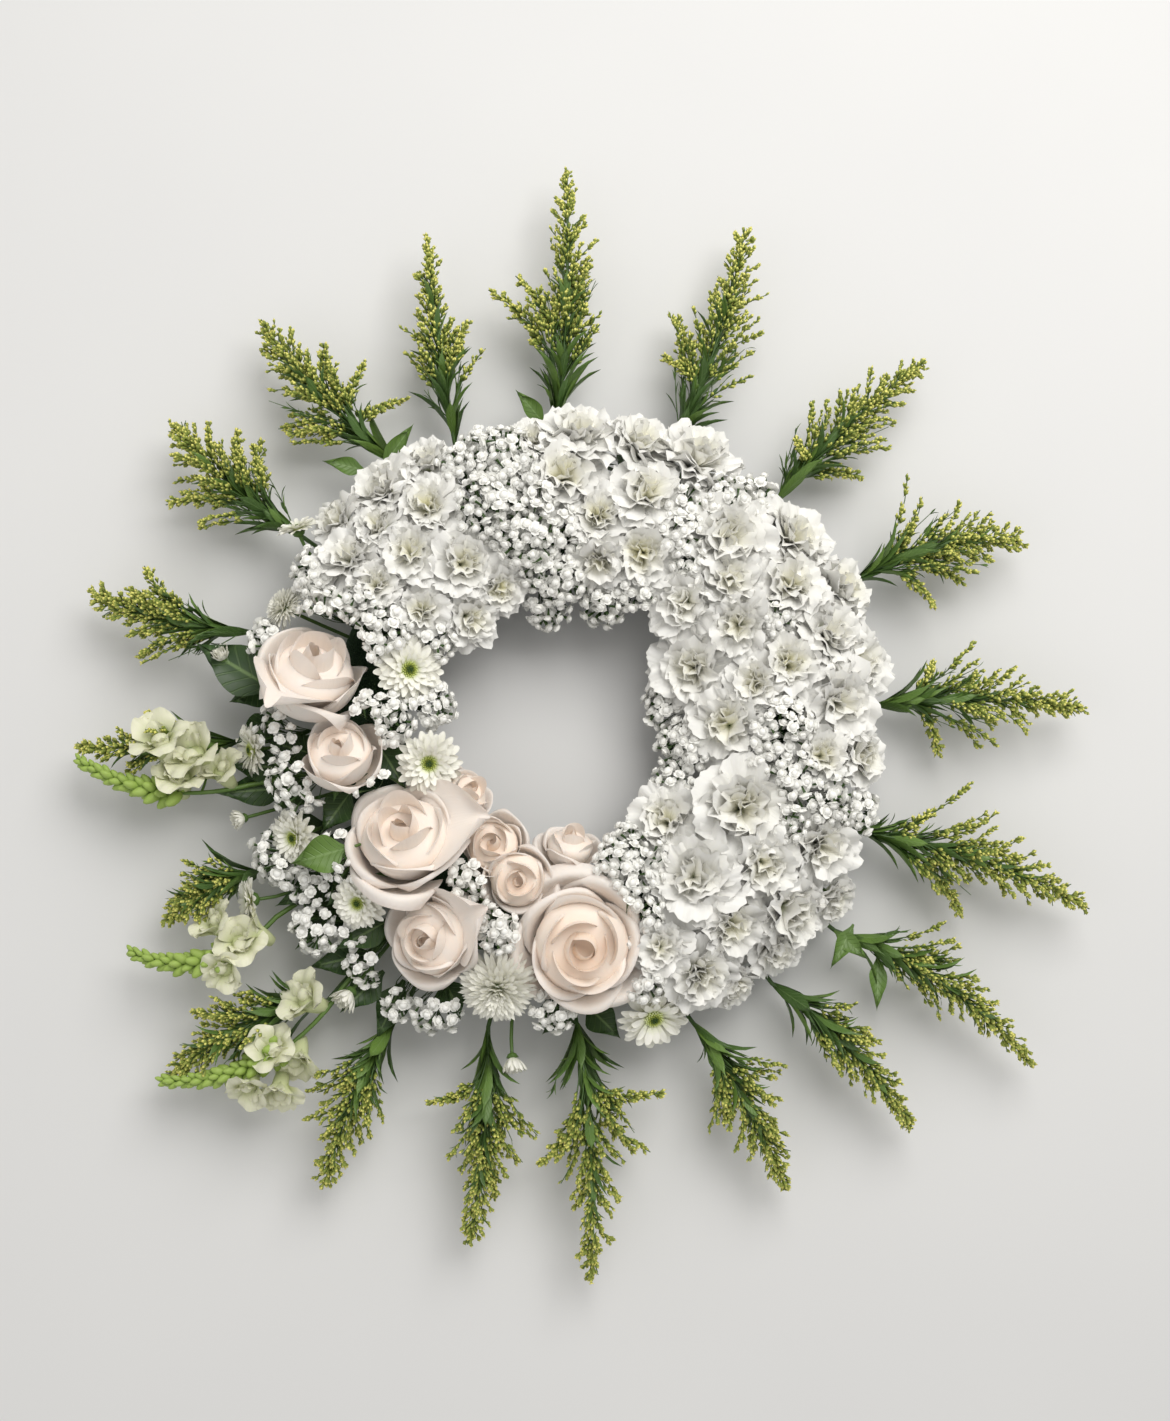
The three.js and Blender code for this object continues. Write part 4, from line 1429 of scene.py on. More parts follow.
ROSES = [
    Rose("rose_01", -230, 40, 108, 42, 75, opening=0.62, petals=13, heart_warmth=0.4, outer=(240,), seed=1,
        leaves=((-262, 0, -300, -24, 52), (-268, 30, -306, 14, 48))),
    Rose("rose_02", -206, -34, 82, 30, 100, opening=0.55, petals=11, heart_warmth=0.55, seed=2,
        leaves=((-176, -20, -148, -66, 84), (-236, -56, -262, -84, 66), (-252, -46, -310, -40, 50),
        (-250, -62, -318, -68, 46), (-226, -34, -272, -22, 62))),
    Rose("rose_03", -150, -106, 112, 30, 110, opening=0.9, petals=15, heart_warmth=0.6, outer=(6,), seed=3,
        leaves=((-186, -140, -216, -168, 76), (-196, -66, -222, -104, 76), (-214, -96, -276, -104, 52),
        (-206, -142, -262, -168, 50), (-198, -160, -244, -206, 48))),
    Rose("rose_04", -126, -197, 94, 30, 190, opening=0.75, petals=14, heart_warmth=0.6, outer=(24,), seed=4,
        leaves=((-166, -226, -204, -262, 50), (-160, -180, -208, -206, 74), (-112, -232, -98, -268, 60),
        (-176, -210, -232, -222, 48), (-148, -234, -172, -286, 44))),
    Rose("rose_05", -72, -115, 66, 14, 120, opening=0.6, petals=13, heart_warmth=1.0, seed=5,
        leaves=((-88, -128, -104, -170, 80),)),
    Rose("rose_06", -50, -146, 70, 10, 250, opening=0.75, petals=12, heart_warmth=1.0, seed=6,
        leaves=((-62, -160, -84, -196, 82),)),
    Rose("rose_07", 6, -204, 122, 8, 270, opening=1.0, petals=18, heart_warmth=1.0, hollow=0.02, seed=7,
        leaves=((-36, -180, -64, -214, 74), (8, -250, -24, -282, 44), (16, -256, 46, -286, 42))),
    Rose("rose_08", -93, -68, 56, 40, 40, opening=0.7, petals=10, heart_warmth=0.9, seed=8),
    Rose("rose_09", -2, -112, 60, 55, 85, opening=0.9, petals=10, heart_warmth=0.7, seed=9),
]


# ---- Carnations ----


@dataclass(frozen=True)
class CarnationHead:
    """The pattern of a carnation's head, 1 across: layers of toothed, ruffled fans."""

    seed: int

    LAYERS = (
        # How many petals, their length and width, the lean of foot and lip, and how near the heart.
        (8, 0.60, 0.54, (52, 104), 0.0),
        (7, 0.58, 0.50, (42, 84), 0.2),
        (6, 0.54, 0.46, (28, 62), 0.45),
        (5, 0.49, 0.42, (14, 42), 0.7),
        (4, 0.45, 0.36, (4, 22), 1.0),
    )

    def petals(self) -> Shape:
        """The petals, from the outer layer to the heart.

        Returns:
            The whole pattern as one shape.
        """
        rng = np.random.default_rng(CARNATION_SEED + self.seed)
        shapes = []
        for layer, (count, length, width, lean, depth) in enumerate(self.LAYERS):
            for index in range(count):
                angle = (index + rng.uniform(-0.25, 0.25)) * math.tau / count + layer * 0.9
                tilt = rng.uniform(-9, 9)
                blade = Blade(
                    length=length * rng.uniform(0.90, 1.08), width=width * rng.uniform(0.9, 1.12), rows=5,
                    columns=11, foot=0.16, widest=0.92, tip=0.96, lean=(lean[0] + tilt, lean[1] + tilt * 2.2),
                    cup=rng.uniform(-0.05, 0.06), ruffle=lerp(0.075, 0.11, depth) * rng.uniform(0.7, 1.3),
                    waves=rng.uniform(3.2, 5.2), phase=rng.uniform(0, ALL_ROUND), teeth=0.022, rounding=0.26,
                    twist=rng.uniform(-0.6, 0.6), thickness=0.008)
                shapes.append(blade.round_axis(angle, 0.035 * (1 - depth), -0.23).marked(depth=depth))
        return Shape.joined(shapes)

    @staticmethod
    def calyx() -> Shape:
        """The green tube that holds the petals, with five short teeth.

        Returns:
            The whole pattern as one shape.
        """
        tube = turned([(0, -0.52), (0.045, -0.51), (0.075, -0.47), (0.092, -0.36), (0.098, -0.24), (0.05, -0.22),
                       (0, -0.22)], 8)
        tooth = Blade(length=0.10, width=0.09, rows=3, columns=3, foot=0.9, widest=0.3, tip=0.1, lean=(15, 45),
                      thickness=0.006)
        return Shape.joined([tube, *(tooth.round_axis(index * math.tau / 5, 0.09, -0.25) for index in range(5))])


@dataclass(frozen=True)
class CarnationSpray:
    """One stem of spray carnations: several heads on side stems."""

    node: str
    blooms: tuple[tuple[float, float, float], ...]
    creamy: float = 0.35

    STEM_START, STEM_RADIUS = 0.49, 1.7
    # The head's pattern is a little smaller than 1 across, so it is made larger.
    FULLNESS = (1.10, 1.22)
    LEAVES, LEAF_LENGTH = 4, (34, 48)

    def build(self, shop: Workshop) -> None:
        """Make the spray in place of its plain solid.

        Args:
            shop: What the pieces are made with.
        """
        rng = shop.rng
        petals, cups, leaves, lines = Spots(), Spots(), Spots(), Lines()
        for x, y, diameter in self.blooms:
            seat, facing = CUSHION.seat(x, y)
            facing = unit(facing + rng.normal(0, 0.10, 3))
            basis = basis_of(facing, rng.uniform(0, ALL_ROUND))
            size = diameter * rng.uniform(*self.FULLNESS)
            kind = shop.pick("carnation_head")
            creamy = float(np.clip(self.creamy + rng.normal(0, 0.25), 0, 1))
            petals.add(seat, basis, size, kind, creamy)
            cups.add(seat, basis, size, 0, 0.55)
            start = seat - facing * size * self.STEM_START
            lines.add(stem_run(start, facing, CUSHION.stem_foot(x, y, start), 6), self.STEM_RADIUS, 0.45)
            # The leaves are real, but their near-black green tone is painted shade. It darkens the gaps under the
            # heads, where real carnation leaves are grey-green.
            for turn in rng.uniform(0, math.tau) + np.arange(self.LEAVES) * GOLDEN_ANGLE:
                axes = basis_of(facing, turn)
                tilted = np.stack([axes[:, 0], unit(axes[:, 1] * 0.35 - axes[:, 2]),
                                   unit(axes[:, 1] + axes[:, 2] * 0.35)], axis=1)
                leaves.add(start - facing * 5.0, tilted, rng.uniform(*self.LEAF_LENGTH), shop.pick("narrow_leaf"),
                           rng.uniform(0, 0.3))
        shop.flowers(self.node, "petals", petals, "carnation_head", "carnation_petal")
        greens(self.node, [shop.copies("calyces", cups, "carnation_cup"), shop.stems("stems", lines, 6),
                           shop.copies("leaves", leaves, "narrow_leaf")])


CARNATIONS = [
    CarnationSpray("carnation_spray_01", ((-173, 206, 54), (-213, 178, 46), (-201, 140, 50), (-175, 114, 42),
        (-133, 232, 46), (-176, 168, 44)), 0.3),
    CarnationSpray("carnation_spray_02", ((-131, 186, 52), (-146, 142, 50), (-98, 133, 56), (-135, 90, 42),
        (-91, 84, 48), (-66, 112, 42)), 0.75),
    CarnationSpray("carnation_spray_03", ((5, 258, 62), (-10, 216, 64), (-37, 250, 40), (20, 178, 50)), 0.35),
    CarnationSpray("carnation_spray_04", ((62, 250, 60), (64, 200, 60), (114, 240, 72), (59, 145, 56), (22, 136, 46)),
        0.5),
    CarnationSpray("carnation_spray_05", ((141, 162, 68), (204, 166, 64), (138, 122, 56), (98, 100, 58),
        (145, 80, 56)), 0.3),
    CarnationSpray("carnation_spray_06", ((196, 121, 56), (248, 122, 62), (233, 76, 60), (191, 47, 54),
        (263, 52, 56)), 0.3),
    CarnationSpray("carnation_spray_07", ((106, 44, 62), (135, -7, 60), (150, -82, 80), (82, -90, 56), (160, 30, 48)),
        0.3),
    CarnationSpray("carnation_spray_08", ((242, 14, 66), (262, -34, 50), (222, -34, 46), (224, -116, 62)), 0.3),
    CarnationSpray("carnation_spray_09", ((104, -143, 68), (168, -132, 56), (140, -186, 56), (76, -205, 46),
        (114, -229, 58)), 0.3),
    CarnationSpray("carnation_spray_10", ((198, -176, 66), (238, -164, 44), (184, -208, 50), (146, -240, 46)), 0.3),
]


# ---- Chrysanthemums ----


class Form(Enum):
    """How a chrysanthemum's head is built."""

    DAISY = 0
    DOUBLE = 1
    POMPON = 2
    CUP = 3

    @property
    def depth(self) -> float:
        """How far below its middle a head meets its stem, as a share of its width."""
        return 0.36 if self is Form.CUP else 0.24


@dataclass(frozen=True)
class ChrysanthemumHead:
    """The pattern of a chrysanthemum's head, 1 across."""

    form: Form

    FLORETS, DISC_RADIUS = 64, 0.125

    def _rays(self, rng: Generator) -> list[Shape]:
        """The strap petals, whorl by whorl from the outside in.

        Args:
            rng: The source of their small differences.

        Returns:
            The petals.
        """
        whorls = {
            # How many petals, their length and width, their lean, the foot's radius and height, and the depth.
            Form.DAISY: [(17, 0.41, 0.135, (82, 94), 0.11, -0.05, 0.0), (16, 0.37, 0.13, (70, 84), 0.11, -0.03, 0.0),
                         (14, 0.30, 0.11, (54, 72), 0.11, -0.01, 0.15)],
            Form.DOUBLE: [(17, 0.43, 0.135, (84, 98), 0.08, -0.07, 0.0), (17, 0.39, 0.13, (74, 88), 0.08, -0.05, 0.0),
                          (16, 0.34, 0.12, (62, 78), 0.09, -0.03, 0.05), (15, 0.27, 0.10, (46, 64), 0.10, -0.01, 0.2),
                          (13, 0.20, 0.08, (30, 50), 0.10, 0.0, 0.35)],
            Form.POMPON: [
                (32, 0.45, 0.072, (86, 106), 0.06, -0.12, 0.0), (32, 0.43, 0.072, (74, 94), 0.06, -0.10, 0.0),
                (30, 0.40, 0.07, (62, 82), 0.06, -0.08, 0.0), (28, 0.37, 0.07, (51, 71), 0.05, -0.06, 0.0),
                (25, 0.33, 0.065, (39, 59), 0.05, -0.03, 0.0), (20, 0.29, 0.065, (27, 47), 0.04, -0.01, 0.1),
                (15, 0.25, 0.06, (15, 34), 0.03, 0.01, 0.25), (8, 0.20, 0.055, (2, 14), 0.01, 0.02, 0.4),
            ],
            Form.CUP: [(16, 0.50, 0.15, (52, 8), 0.06, -0.24, 0.0), (14, 0.46, 0.14, (38, 0), 0.05, -0.22, 0.05),
                       (10, 0.40, 0.12, (22, -6), 0.04, -0.20, 0.3), (6, 0.34, 0.10, (8, -8), 0.02, -0.18, 0.42)],
        }[self.form]
        columns = 3 if self.form is Form.POMPON else 5
        shapes = []
        for layer, (count, length, width, lean, radius, height, depth) in enumerate(whorls):
            for index in range(count):
                angle = (index + rng.uniform(-0.2, 0.2)) * math.tau / count + layer * 0.55
                tilt = rng.uniform(-6, 6)
                ray = Blade(
                    length=length * rng.uniform(0.92, 1.05), width=width * rng.uniform(0.9, 1.1), rows=5,
                    columns=columns, foot=0.40, widest=0.68, tip=0.66, lean=(lean[0] + tilt, lean[1] + tilt),
                    cup=0.15, rounding=0.12, twist=rng.uniform(-0.5, 0.5), thickness=0.012)
                shapes.append(ray.round_axis(angle, radius, height).marked(depth=depth))
        return shapes

    def _disc(self) -> list[Shape]:
        """The tight florets of an open disc, in a spiral on a low dome.

        Returns:
            The florets and their base.
        """
        if self.form not in (Form.DAISY, Form.DOUBLE):
            return []
        shapes = []
        floret = turned([(0, -0.03), (0.0135, 0.0), (0.011, 0.022), (0, 0.03)], 5)
        for index in range(self.FLORETS):
            share = math.sqrt((index + 0.5) / self.FLORETS)
            angle, edge = index * GOLDEN_ANGLE, self.DISC_RADIUS
            at = [share * edge * math.cos(angle), share * edge * math.sin(angle), 0.005 + 0.03 * (1 - share * share)]
            facing = unit(np.array([at[0], at[1], 0.22]))
            depth = lerp(1.0, 0.55, float(ease((share - 0.25) / 0.6)))
            shapes.append(floret.placed(basis_of(facing), 1.15, at).marked(depth=depth))
        base = turned([(0, -0.10), (0.11, -0.06), (0.128, -0.01), (0.06, 0.01), (0, 0.015)], 12)
        shapes.append(base.marked(depth=0.75))
        return shapes

    def petals(self) -> Shape:
        """The rays, and the disc if it shows."""
        rng = np.random.default_rng(CHRYSANTHEMUM_SEED + self.form.value)
        return Shape.joined(self._rays(rng) + self._disc())

    def calyx(self) -> Shape:
        """The green button below the rays, with its pointed scales.

        Returns:
            The whole pattern as one shape.
        """
        low = -0.32 if self.form is Form.CUP else -0.20
        button = turned([(0, low - 0.06), (0.04, low - 0.05), (0.13, low), (0.16, low + 0.08), (0.10, low + 0.12),
                         (0, low + 0.12)], 10)
        scale = Blade(length=0.15, width=0.09, rows=4, columns=3, foot=0.8, widest=0.3, tip=0.1, lean=(55, 20),
                      thickness=0.01)
        return Shape.joined([button, *(scale.round_axis(index * math.tau / 12, 0.09, low) for index in range(12))])


@dataclass(frozen=True)
class Bloom:
    """One head of a chrysanthemum stem, and how it is turned."""

    x: float
    y: float
    diameter: float
    form: Form = Form.DAISY
    lean: float | None = None
    towards: float = 0.0


@dataclass(frozen=True)
class Chrysanthemum:
    """One chrysanthemum stem with its heads."""

    node: str
    blooms: tuple[Bloom, ...]

    STEM_RADIUS = 1.6

    def build(self, shop: Workshop) -> None:
        """Make the stem's heads in place of the plain solid.

        Args:
            shop: What the pieces are made with.
        """
        petals, cups, lines = Spots(), Spots(), Lines()
        for bloom in self.blooms:
            seat, facing = CUSHION.seat(bloom.x, bloom.y)
            if bloom.lean is not None:
                facing = leaning(bloom.lean, bloom.towards)
            basis = basis_of(facing, shop.rng.uniform(0, ALL_ROUND))
            petals.add(seat, basis, bloom.diameter, bloom.form.value, shop.rng.uniform(0, 1))
            cups.add(seat, basis, bloom.diameter, bloom.form.value, 0.6)
            start = seat - facing * bloom.diameter * bloom.form.depth
            lines.add(stem_run(start, facing, CUSHION.stem_foot(bloom.x, bloom.y, start), 8), self.STEM_RADIUS, 0.6)
        shop.flowers(self.node, "petals", petals, "chrysanthemum_head", "chrysanthemum_petal")
        greens(self.node, [shop.copies("calyces", cups, "chrysanthemum_cup"), shop.stems("stems", lines, 6)])


CHRYSANTHEMUMS = [
    Chrysanthemum("chrysanthemum_01", (Bloom(-146, 38, 63, Form.DOUBLE),)),
    Chrysanthemum("chrysanthemum_02", (Bloom(-128, -44, 60, Form.DOUBLE, 14, 280),)),
    Chrysanthemum("chrysanthemum_03", (Bloom(-189, -166, 52, Form.DOUBLE), Bloom(-200, -250, 36, Form.CUP))),
    Chrysanthemum("chrysanthemum_04", (Bloom(-246, -109, 55, Form.DOUBLE), Bloom(-296, -92, 26, Form.CUP))),
    Chrysanthemum("chrysanthemum_05", (Bloom(-286, -30, 48, Form.DAISY, 62, 190),
        Bloom(-314, 56, 27, Form.CUP, 40, 120))),
    Chrysanthemum("chrysanthemum_06", (Bloom(-260, 98, 43, Form.POMPON), Bloom(-248, 172, 38, Form.DAISY, 70, 110))),
    Chrysanthemum("chrysanthemum_07", (Bloom(-67, -241, 72, Form.POMPON), Bloom(-51, -309, 32, Form.CUP, 75, 275))),
    Chrysanthemum("chrysanthemum_08", (Bloom(74, -268, 64, Form.DAISY, 38, 285),)),
    Chrysanthemum("chrysanthemum_09", (Bloom(-286, -163, 42, Form.DAISY, 72, 185),)),
]


# ---- Baby's breath ----


@dataclass(frozen=True)
class BreathFloret:
    """The pattern of one tiny double bloom, 1 across."""

    seed: int

    def petals(self) -> Shape:
        """The bloom's crowded petals.

        Returns:
            The whole pattern as one shape.
        """
        rng = np.random.default_rng(BREATH_SEED + self.seed)
        shapes = []
        for count, lean, length in ((4, (58, 92), 0.52), (2, (22, 52), 0.50)):
            for index in range(count):
                petal = Blade(length=length * rng.uniform(0.9, 1.1), width=0.62, rows=3, columns=3, foot=0.35,
                              widest=0.75, tip=0.8, lean=(lean[0] + rng.uniform(-10, 10), lean[1]),
                              cup=rng.uniform(0.0, 0.2), rounding=0.2, thickness=0.05)
                shapes.append(petal.round_axis((index + rng.uniform(-0.2, 0.2)) * math.tau / count, 0.0, -0.18))
        heart = turned([(0, -0.22), (0.30, -0.02), (0.24, 0.20), (0, 0.30)], 5)
        return Shape.joined([*shapes, heart.marked(along=0.85)])


@dataclass(frozen=True)
class BabysBreath:
    """One bunch of baby's breath: puffs of tiny blooms on wiry stems."""

    node: str
    puffs: tuple[tuple[float, float, float], ...]
    spacing: float = 8.2

    # How far a puff may reach past its width, and how far it is domed.
    REACH, DOME = 1.12, 0.26
    FORK = 0.45
    STEM_RADIUS = 0.9
    WIRE = (1.6, 0.5, 0.4, 0.4, 0.45)
    BLOOM_SIZE = (10.5, 14.2)

    def build(self, shop: Workshop, heads: Sequence[tuple[ndarray, float]]) -> None:
        """Make the bunch in place of its plain solid, clear of the larger heads.

        Args:
            shop: What the pieces are made with.
            heads: The middle and radius of each large head.
        """
        rng = shop.rng
        petals, lines = Spots(), Lines()
        taken: list[ndarray] = []
        for x, y, diameter in self.puffs:
            seat, facing = CUSHION.seat(x, y)
            foot = CUSHION.stem_foot(x, y, seat)
            fork = lerp(seat, foot, self.FORK)
            basis = basis_of(facing)
            lines.add(stem_run(fork, facing, foot, 4), self.STEM_RADIUS, 0.3)
            tries = int(diameter * diameter / 6)
            for _ in range(tries):
                share = math.sqrt(rng.uniform(0, 1)) * self.REACH
                angle = rng.uniform(0, math.tau)
                rise = self.DOME * math.sqrt(max(0.0, 1.25 - share * share)) + rng.uniform(-0.30, 0.06)
                local = np.array([share * 0.5 * math.cos(angle), share * 0.5 * math.sin(angle), rise])
                at = seat + basis @ (local * diameter)
                if any(np.linalg.norm(at - centre) < radius for centre, radius in heads):
                    continue
                if taken and np.min(np.linalg.norm(np.array(taken) - at, axis=1)) < self.spacing:
                    continue
                taken.append(at)
                look = unit(basis @ np.array([local[0], local[1], 0.35]) + rng.normal(0, 0.35, 3) * 0.5)
                size = rng.uniform(*self.BLOOM_SIZE)
                kind = shop.pick("breath_floret")
                petals.add(at, basis_of(look, rng.uniform(0, ALL_ROUND)), size, kind, rng.uniform(0, 1))
                lines.add(stem_run(at - look * size * 0.20, look, fork, 5), self.WIRE, 0.3)
        shop.flowers(self.node, "blooms", petals, "breath_floret", "babys_breath_bloom")
        dressed(shop.stems(f"{self.node}_greens", lines, 3), [self.node])


BABYS_BREATH = [
    BabysBreath("babys_breath_01", ((-62, 226, 62), (-76, 184, 60), (-44, 160, 58), (-40, 200, 50), (-84, 250, 30),
        (-103, 228, 36))),
    BabysBreath("babys_breath_02", ((-172, 70, 50), (-192, 92, 44), (-180, -2, 34), (-160, -6, 40), (-122, 8, 36),
        (-232, 128, 42), (-222, 92, 40), (-276, 70, 34), (-122, 64, 34))),
    BabysBreath("babys_breath_03", ((196, -60, 52), (228, -76, 46), (184, -92, 44), (262, -84, 40), (99, -24, 50),
        (88, -56, 36), (184, -12, 54), (176, -38, 40), (80, 12, 34))),
    BabysBreath("babys_breath_04", ((-246, -60, 50), (-262, -128, 52), (-236, -150, 46), (-206, -128, 40),
        (-228, -192, 44), (-124, -262, 44), (-152, -258, 34), (-262, -14, 38), (-176, -66, 32), (-184, -224, 34),
        (-200, -194, 34)), 10.4),
    BabysBreath("babys_breath_05", ((44, -136, 52), (52, -176, 44), (70, -132, 40), (64, -236, 34), (48, -112, 38),
        (-92, -150, 42), (-68, -188, 38), (-16, -262, 36))),
    BabysBreath("babys_breath_06", ((-8, 120, 42), (-26, 128, 40), (142, 196, 46), (174, 208, 34), (92, 160, 44),
        (96, 190, 38), (-20, 98, 38), (28, 102, 42), (54, 112, 36), (180, 86, 36), (-6, 165, 36), (103, 139, 32))),
]


# ---- Goldenrod ----


@dataclass(frozen=True)
class Goldenrod:
    """One spray of goldenrod: a stem with narrow leaves, and side branches thick with buds."""

    number: int
    tip: tuple[float, float]
    foot: tuple[float, float]
    width: float
    bend: float
    arms: tuple[tuple[float, float], ...] = ()
    broad_leaves: tuple[tuple[float, float, float, float], ...] = ()

    FOAM_RADIUS = 198.0
    FOAM_Z = 27.0
    BASE_Z = 30.0
    MIDDLE_Z = 50.0
    TIP_Z = 42.0
    LOWEST_Z = 6.0
    LONGEST_BRANCH = 76.0
    BRANCHES, LEAVES, TWIGS = 42, 38, 6
    STEM_RADII, ARM_RADII, BRANCH_RADII, TWIG_RADII = (2.1, 0.6), (1.2, 0.5), (0.8, 0.4), (0.7, 0.3)
    # The arms end by turns above and below the main stem's tip.
    ARM_RISE, ARM_WIDTH, ARM_BRANCHES, ARM_LEAVES = 9.0, 0.24, 15, 5
    LEAF_LENGTH, ARM_LEAF_LENGTH, TWIG_LEAF_LENGTH = 60.0, 34.0, 22.0
    BROAD_LEAF_Z, BROAD_LEAF_WIDTH = (36.0, 46.0), 17.0
    LEAFY, BUDS_PER_MM = 0.70, 0.64
    SHARE_OPEN = (0.5, 0.46, 0.04)

    @property
    def node(self) -> str:
        """The name of its CAD node."""
        return f"goldenrod_{self.number:02d}"

    def _stem(self) -> ndarray:
        """The line of the main stem, where it shows.

        Returns:
            Its points, from foot to tip.
        """
        foot = np.array([*self.foot, self.BASE_Z])
        tip = np.array([*self.tip, self.TIP_Z])
        left = np.cross(Z_AXIS, unit((tip - foot) * [1, 1, 0]))
        middle = (foot + tip) / 2 + left * self.bend
        middle[2] = self.MIDDLE_Z
        return through(foot, middle, tip, np.linspace(0, 1, 25))

    @staticmethod
    def _at(line: ndarray, share: float) -> tuple[ndarray, ndarray]:
        """A line's point at this share of it, and its direction there.

        Args:
            line: The line's points.
            share: How far along it, from 0 to 1.

        Returns:
            The point and the direction.
        """
        steps = np.linspace(0, 1, len(line))
        ends = [np.array([np.interp(s, steps, line[:, axis]) for axis in range(3)])
                for s in (max(0.0, share - 0.02), share, min(1.0, share + 0.02))]
        return ends[1], unit(ends[2] - ends[0])

    def build(self, shop: Workshop) -> None:
        """Make the spray in place of its plain solid.

        Args:
            shop: What the pieces are made with.
        """
        flowers, leaves, lines, rng = Spots(), Spots(), Lines(), shop.rng
        inside = unit(np.array(self.foot, float)) * self.FOAM_RADIUS
        stem = self._stem()
        run = np.concatenate([[[*inside, self.FOAM_Z]], stem[::2]])
        lines.add(run, np.linspace(*self.STEM_RADII, 14), 0.42)
        self._plume(flowers, lines, stem, self.width, self.BRANCHES, 0.08, rng)
        self._leaves(leaves, stem, self.LEAVES, 0.0, self.LEAF_LENGTH, rng)
        self._side_twigs(leaves, lines, stem, rng)
        for index, arm in enumerate(self.arms):
            start, ahead = self._at(stem, rng.uniform(0.04, 0.22))
            tip = np.array([*arm, self.TIP_Z + self.ARM_RISE * (-1) ** index])
            gap = float(np.linalg.norm(tip - start))
            line = bowed(start, start + ahead * gap * 0.55, tip, 15)
            lines.add(line[::2], np.linspace(*self.ARM_RADII, 8), 0.45)
            self._plume(flowers, lines, line, gap * self.ARM_WIDTH, self.ARM_BRANCHES, 0.30, rng)
            self._leaves(leaves, line, self.ARM_LEAVES, 0.1, self.ARM_LEAF_LENGTH, rng)
        shop.flowers(self.node, "buds", flowers, "goldenrod_bud_pattern", "goldenrod_bud")
        parts = [shop.copies("leaves", leaves, "narrow_leaf"), shop.stems("stems", lines, 4)]
        for x0, y0, x1, y1 in self.broad_leaves:
            low, tip = np.array([x0, y0, self.BROAD_LEAF_Z[0]]), np.array([x1, y1, self.BROAD_LEAF_Z[1]])
            leaf = leaf_between(low, tip, self.BROAD_LEAF_WIDTH, 0.2, 0.7)
            parts.append(shop.solid("leaf", leaf))
        greens(self.node, parts)

    def _plume(self, flowers: Spots, lines: Lines, stem: ndarray, width: float, branches: int, start: float,
               rng: Generator) -> None:
        """Set side branches along a stem and crowd them with buds.

        Args:
            flowers: Where the buds are added.
            lines: Where the branches are added.
            stem: The line that they stand on.
            width: How wide the plume is.
            branches: How many branches it has.
            start: The share of the stem below the lowest branch.
            rng: The source of their small differences.
        """
        for index in range(branches):
            fall = (index + rng.uniform(0, 0.7)) / branches
            here, ahead = self._at(stem, lerp(start, 0.97, fall))
            turn = index * GOLDEN_ANGLE + rng.uniform(-0.3, 0.3)
            left = unit(np.cross(Z_AXIS, ahead))
            out = unit(left * math.cos(turn) * 1.5 + np.cross(ahead, left) * math.sin(turn) * 0.7)
            length = min(width, self.LONGEST_BRANCH) * lerp(1.40, 0.18, fall ** 0.75) * rng.uniform(0.75, 1.1)
            s = np.linspace(0, 1, 6)[:, None]
            angle = math.radians(rng.uniform(12, 27)) * (0.6 + 0.8 * s)
            sag = Z_AXIS * 0.08 * length * s ** 2
            branch = here + (ahead * np.cos(angle) + out * np.sin(angle)) * s * length - sag
            branch[:, 2] = np.maximum(branch[:, 2], self.LOWEST_Z)
            lines.add(branch, np.linspace(*self.BRANCH_RADII, 6), 0.5)
            self._crowd(flowers, branch, lerp(0.55, 0.0, fall ** 0.7), length, fall, rng)
        self._crowd(flowers, stem[-5:], 0.0, float(np.linalg.norm(stem[-1] - stem[-5])), 1.0, rng)

    def _crowd(self, flowers: Spots, branch: ndarray, bare: float, length: float, ripeness_and_highlight: float,
               rng: Generator) -> None:
        """Crowd buds along a branch.

        Args:
            flowers: Where the buds are added.
            branch: The branch's line.
            bare: The share of it, from its foot, with no buds.
            length: Its length.
            ripeness_and_highlight: How far up the spray it stands, which makes the buds yellower, partly for ripeness
                and partly as a painted highlight.
            rng: The source of their small differences.
        """
        count = max(5, int(length * (1 - bare) * self.BUDS_PER_MM))
        shares = np.sort(rng.uniform(bare, 1.0, count))
        steps = np.linspace(0, 1, len(branch))
        at = np.stack([np.interp(shares, steps, branch[:, axis]) for axis in range(3)], 1)
        away = rng.normal(0, 1, (count, 3))
        away[:, 2] += 0.4
        away = unit(away)
        reach = lerp(4.4, 1.8, (shares - bare) / (1 - bare))[:, None] * rng.uniform(0.4, 1.2, (count, 1))
        facing = unit(away * 0.6 + unit(branch[-1] - branch[0]) * 1.2)
        size = rng.uniform(6.0, 8.4, count)
        # The buds grow yellower up the spray and towards each branch's end: partly ripeness, partly a painted
        # highlight where the plume's outside catches the light.
        tone = np.clip(0.22 + 0.50 * ripeness_and_highlight + 0.46 * shares + rng.normal(0, 0.18, count), 0, 1)
        kinds = rng.choice(3, count, p=self.SHARE_OPEN)
        flowers.add(at + away * reach, bases_of(facing, rng.uniform(0, ALL_ROUND, count)), size, kinds, tone)

